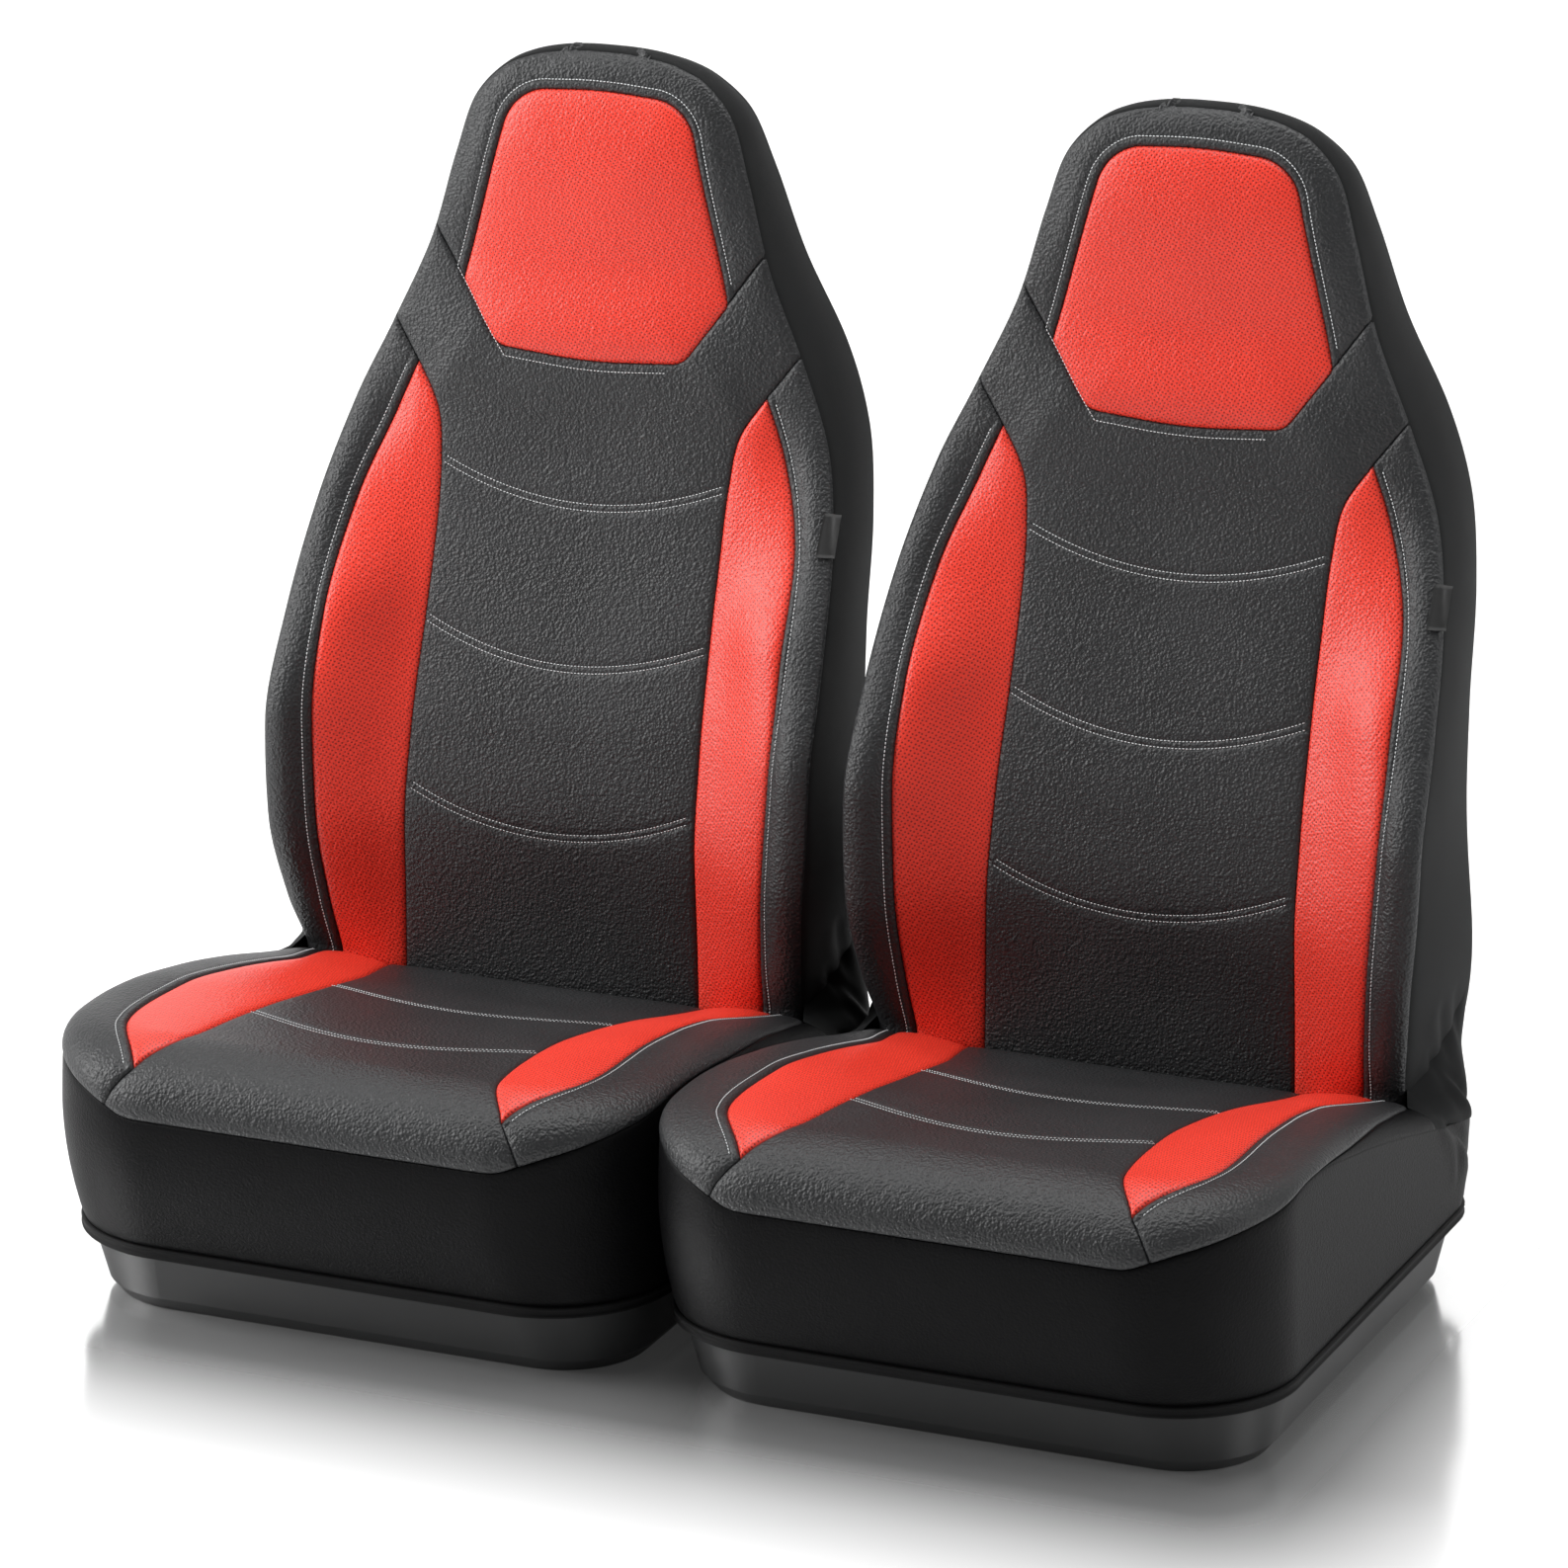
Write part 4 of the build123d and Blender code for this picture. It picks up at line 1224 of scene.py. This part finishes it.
def shoulder_section(count):
    """The rear end of the shoulder, from the side up to the leather's edge."""
    across = np.linspace(SHOULDER_FOOT, leather_edge(np.array([SHOULDER_END]))[0], count)
    return cushion_surface(np.stack([across, np.full(count, SHOULDER_END)], 1), np.zeros(count))[0]


def hip_top(start):
    """Upper edge of the hip fabric, from the shoulder's end round behind the backrest."""
    (front_y, front_z), (rear_y, rear_z) = HIP_FRONT, HIP_REAR
    y = np.linspace(front_y, rear_y, 30)
    z = front_z + (rear_z - front_z) * ((y - front_y) / (rear_y - front_y)) ** 1.6
    beside = [(gusset_side(np.array([a]), np.array([b]))[0] - 1.2, a, b) for a, b in zip(y, z)]
    return resample([tuple(start), *beside, *HIP_BEHIND], 1.0)


def make_hips(seat):
    """Stretch fabric from the skirt's top, behind the crease, up round the backrest's rear corners."""
    columns, levels = HIP_COLUMNS, HIP_LEVELS
    share = np.linspace(0, 1, columns)
    path = plan_path(PLAN)
    foot = path[(path[:, 0] > 150) & (path[:, 1] > SHOULDER_END)][::-1]
    foot = resample(np.vstack([[PLAN["wide"], SHOULDER_END], foot]), 1.0)
    foot = sample(foot, np.linspace(0, 1, len(foot)), share)
    low = np.column_stack([foot, seam_height(foot[:, 1]) - 1.0])
    along = np.gradient(foot, axis=0)
    out = np.stack([-along[:, 1], along[:, 0], np.zeros(columns)], 1)
    out = unit(out * np.sign((out[:, :2] * (foot - np.array([0.0, 150.0]))).sum(1))[:, None])
    start = shoulder_section(levels)
    top = hip_top(start[-1])
    high = sample(top, np.linspace(0, 1, len(top)), share)
    rise = (high[:, 2] - low[:, 2])[:, None] * np.array([[0.0, 0.0, 0.36]])
    c1 = low + rise + out * 2.0
    c2 = high - rise + out * 7.0
    fit = np.clip(1 - share / 0.16, 0, 1) ** 2
    rows = []
    for k, t in enumerate(np.arange(levels) / (levels - 1)):
        row = (1 - t) ** 3 * low + 3 * t * (1 - t) ** 2 * c1 + 3 * t * t * (1 - t) * c2 + t ** 3 * high
        row = row + (start[k] - row[0]) * fit[:, None]
        folds = fold_rise(row[:, 1], row[:, 2]) * np.abs(out[:, 0]) * (1 - t ** 6) * (1 - fit)
        rows.append(row + out * folds[:, None])
    points = np.vstack([mirrored(row, sign) for sign in (1, -1) for row in rows])
    normals = np.vstack([np.tile(mirrored(out, sign), (levels, 1)) for sign in (1, -1)])
    one = grid_faces(levels, columns)
    faces = one + [tuple(v + columns * levels for v in f) for f in one]
    return build(seat + "_hip_gusset_covers", points, faces, normals, points[:, 1:], flange=0.0)


def make_rear_flap(seat):
    """Tail of stretch fabric that hangs from the backrest down inside the skirt's rear."""
    columns, levels = 48, 24
    x = np.linspace(-FLAP_HALF_WIDTH, FLAP_HALF_WIDTH, columns)
    rows = []
    for z in np.linspace(FLAP_TOP, FLAP_FOOT, levels):
        hang = (FLAP_TOP - z) / (FLAP_TOP - FLAP_FOOT)
        y = FLAP_DEPTH + 1.2 * np.sin(x / 31.0 + 0.8 * hang) * hang
        rows.append(np.stack([x, y, np.full(columns, z)], 1))
    points = np.vstack(rows)
    normals = np.tile([0.0, 1.0, 0.0], (len(points), 1))
    faces = grid_faces(levels, columns)
    return build(seat + "_rear_flap_cover", points, faces, normals, points[:, [0, 2]], flange=0.0)


def make_tag(seat):
    """A small folded tag caught in the seam between the right bolster and the gusset."""
    low, high = (to_seat(seat, corner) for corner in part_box(seat + "_seam_tag"))
    rows, columns, inset = 12, 7, 2.5
    points = []
    for layer in (0, 1):
        for r in range(rows):
            z = low[2] + inset + (high[2] - low[2] - 2 * inset) * r / (rows - 1)
            for c in range(columns):
                share = c / (columns - 1)
                flat = np.array([[high[0] - TAG_WIDTH * share, z]])
                spot, _ = back_surface(flat, np.array([3.4 - layer * 1.1 + 0.9 * share]))
                tucked = np.array([[1.5, 1.0, 0]]) if share == 0 else 0.0
                points.append((spot + tucked)[0])
    points = np.array(points)
    count = rows * columns
    front = grid_faces(rows, columns)
    back = [tuple(v + count for v in f[::-1]) for f in front]
    rim = [r * columns + columns - 1 for r in range(rows)]
    closing = [(a, b, b + count, a + count) for a, b in zip(rim, rim[1:])]
    for base in (0, count - columns):
        closing += [
            (base + c, base + c + 1, base + c + 1 + count, base + c + count) for c in range(columns - 1)
        ]
    return finish_mesh(seat + "_seam_tag_cover", points, front + back + closing, points[:, [0, 2]])


# ---- Assembly ----

def settle(obj, seat):
    """Moves a piece from the seat's own frame into the row frame."""
    obj.data.transform(Matrix.Translation(Vector(place(seat) * MM)))


for seat in SEATS:
    back_body = "backrest_" + seat
    slots = {row["node"]: row["material_slot"] for row in frame["record"]["subparts"]}
    back, back_runs = make_back(seat)
    cushion, cushion_runs = make_cushion(seat)
    lower = {"skirt": make_skirt(seat), "hem_band": make_hem(seat)}
    bridges = {"rear_flap": make_rear_flap(seat), "hip_gussets": make_hips(seat)}
    back["seam_tag"] = make_tag(seat)
    back["back_thread"] = stitches(seat + "_back_stitching", back_runs)
    cushion["cushion_thread"] = stitches(seat + "_cushion_stitching", cushion_runs)
    pieces = {**back, **cushion, **lower, **bridges}
    for name, obj in pieces.items():
        settle(obj, seat)
        dress(obj, slots.get(f"{seat}_{name}", "thread"))
    for obj in (*cushion.values(), *lower.values()):
        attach(obj, "root")
    for obj in back.values():
        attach(obj, back_body)
    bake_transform(bridges["hip_gussets"])
    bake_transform(bridges["rear_flap"])
    for name, obj in pieces.items():
        if not name.endswith("thread"):
            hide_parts(f"{seat}_{name}")
    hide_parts(seat + "_back_foam")
    hidden = (f"{seat}_{node}" for node in ("cushion_foam", "anchor_flap", "anchor_tube"))
    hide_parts(*hidden)
    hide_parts(seat + "_hem_elastic")
    for node in CARRIER_PARTS:
        obj = frame["nodes"][f"{seat}_{node}"]
        obj.data.materials.clear()
        obj.data.materials.append(MATERIALS[slots[f"{seat}_{node}"]])

# ---- Floor, lights and camera ----

def studio_white():
    """White, polished near the seats, so that they reflect softly where they stand. Away from the seats the
    floor glows with a painted glow, faded out near them so that their shadow shows.
    """
    material, tree, shader = node_material("studio_white")
    high = cad_box[1]
    polish_and_glow_box = (high[0] - POLISH_AND_GLOW_INSET, high[1] - POLISH_AND_GLOW_INSET, 50.0)
    spot = object_coords(tree)
    for operation, value in (
        ("ABSOLUTE", None), ("SUBTRACT", polish_and_glow_box), ("MAXIMUM", (0, 0, 0)), ("LENGTH", None)
    ):
        step = add(tree, "ShaderNodeVectorMath", operation=operation)
        tree.links.new(spot, step.inputs[0])
        if value is not None:
            step.inputs[1].default_value = value
        spot = step.outputs["Value" if operation == "LENGTH" else "Vector"]
    # Metallic polish near the seats; the emission is a painted glow that whitens the floor, faded out near
    # the seats so their shadow and reflection show
    for socket, near, far in (("Metallic", 0.80, 0.0), ("Emission Color", 0.02, 0.30)):
        shade = ramp(tree, spot, [(POLISH_AND_GLOW_START, grey(near)), (POLISH_AND_GLOW_END, grey(far))])
        tree.links.new(shade, shader.inputs[socket])
    shader.inputs["Emission Strength"].default_value = 1.0
    shader.inputs["Base Color"].default_value = grey(0.95)
    shader.inputs["Roughness"].default_value = 0.16
    return material


def make_stage():
    """A floor that curves up to a wall behind the seats, square to the camera."""
    r = FLOOR_CURVE
    profile = [(FLOOR_FRONT, 0.0), (FLOOR_REAR, 0.0)]
    profile += [
        (FLOOR_REAR + r * math.sin(a), r * (1 - math.cos(a))) for a in np.radians(np.linspace(5, 90, 18))
    ]
    profile += [(FLOOR_REAR + r, WALL_TOP)]
    across = np.array([math.cos(CAMERA_AZIMUTH), math.sin(CAMERA_AZIMUTH)])
    away = np.array([-across[1], across[0]])
    points = []
    for depth, height in profile:
        for side in (-FLOOR_HALF_WIDTH, FLOOR_HALF_WIDTH):
            points.append((*(away * depth + across * side), height))
    mesh = bpy.data.meshes.new("studio_floor")
    mesh.from_pydata(points, [], [f[::-1] for f in grid_faces(len(profile), 2)])
    mesh.shade_smooth()
    mesh.materials.append(studio_white())
    floor = bpy.data.objects.new("studio_floor", mesh)
    bpy.context.scene.collection.objects.link(floor)


def area_light(name, location, target, size, power):
    data = bpy.data.lights.new(name, "AREA")
    data.shape = "RECTANGLE"
    data.size, data.size_y = size
    data.energy = power
    obj = bpy.data.objects.new(name, data)
    obj.location = location
    obj.rotation_euler = (Vector(target) - Vector(location)).to_track_quat("-Z", "Y").to_euler()
    bpy.context.scene.collection.objects.link(obj)


make_stage()
for name, light in LIGHTS.items():
    area_light(name, *light)
world = bpy.data.worlds.new("studio")
world.use_nodes = True
background = world.node_tree.nodes["Background"]
background.inputs["Color"].default_value = grey(1.0)
background.inputs["Strength"].default_value = WORLD_LIGHT
bpy.context.scene.world = world
bpy.context.scene.view_settings.view_transform = "Standard"

camera_data = bpy.data.cameras.new("camera")
camera_data.lens = CAMERA_LENS
camera_data.sensor_width = CAMERA_SENSOR
camera_data.clip_end = 100.0
camera = bpy.data.objects.new("camera", camera_data)
camera.location = CAMERA_PLACE
camera.rotation_euler = (math.pi / 2 - CAMERA_ELEVATION, 0, CAMERA_AZIMUTH)
bpy.context.scene.collection.objects.link(camera)
bpy.context.scene.camera = camera
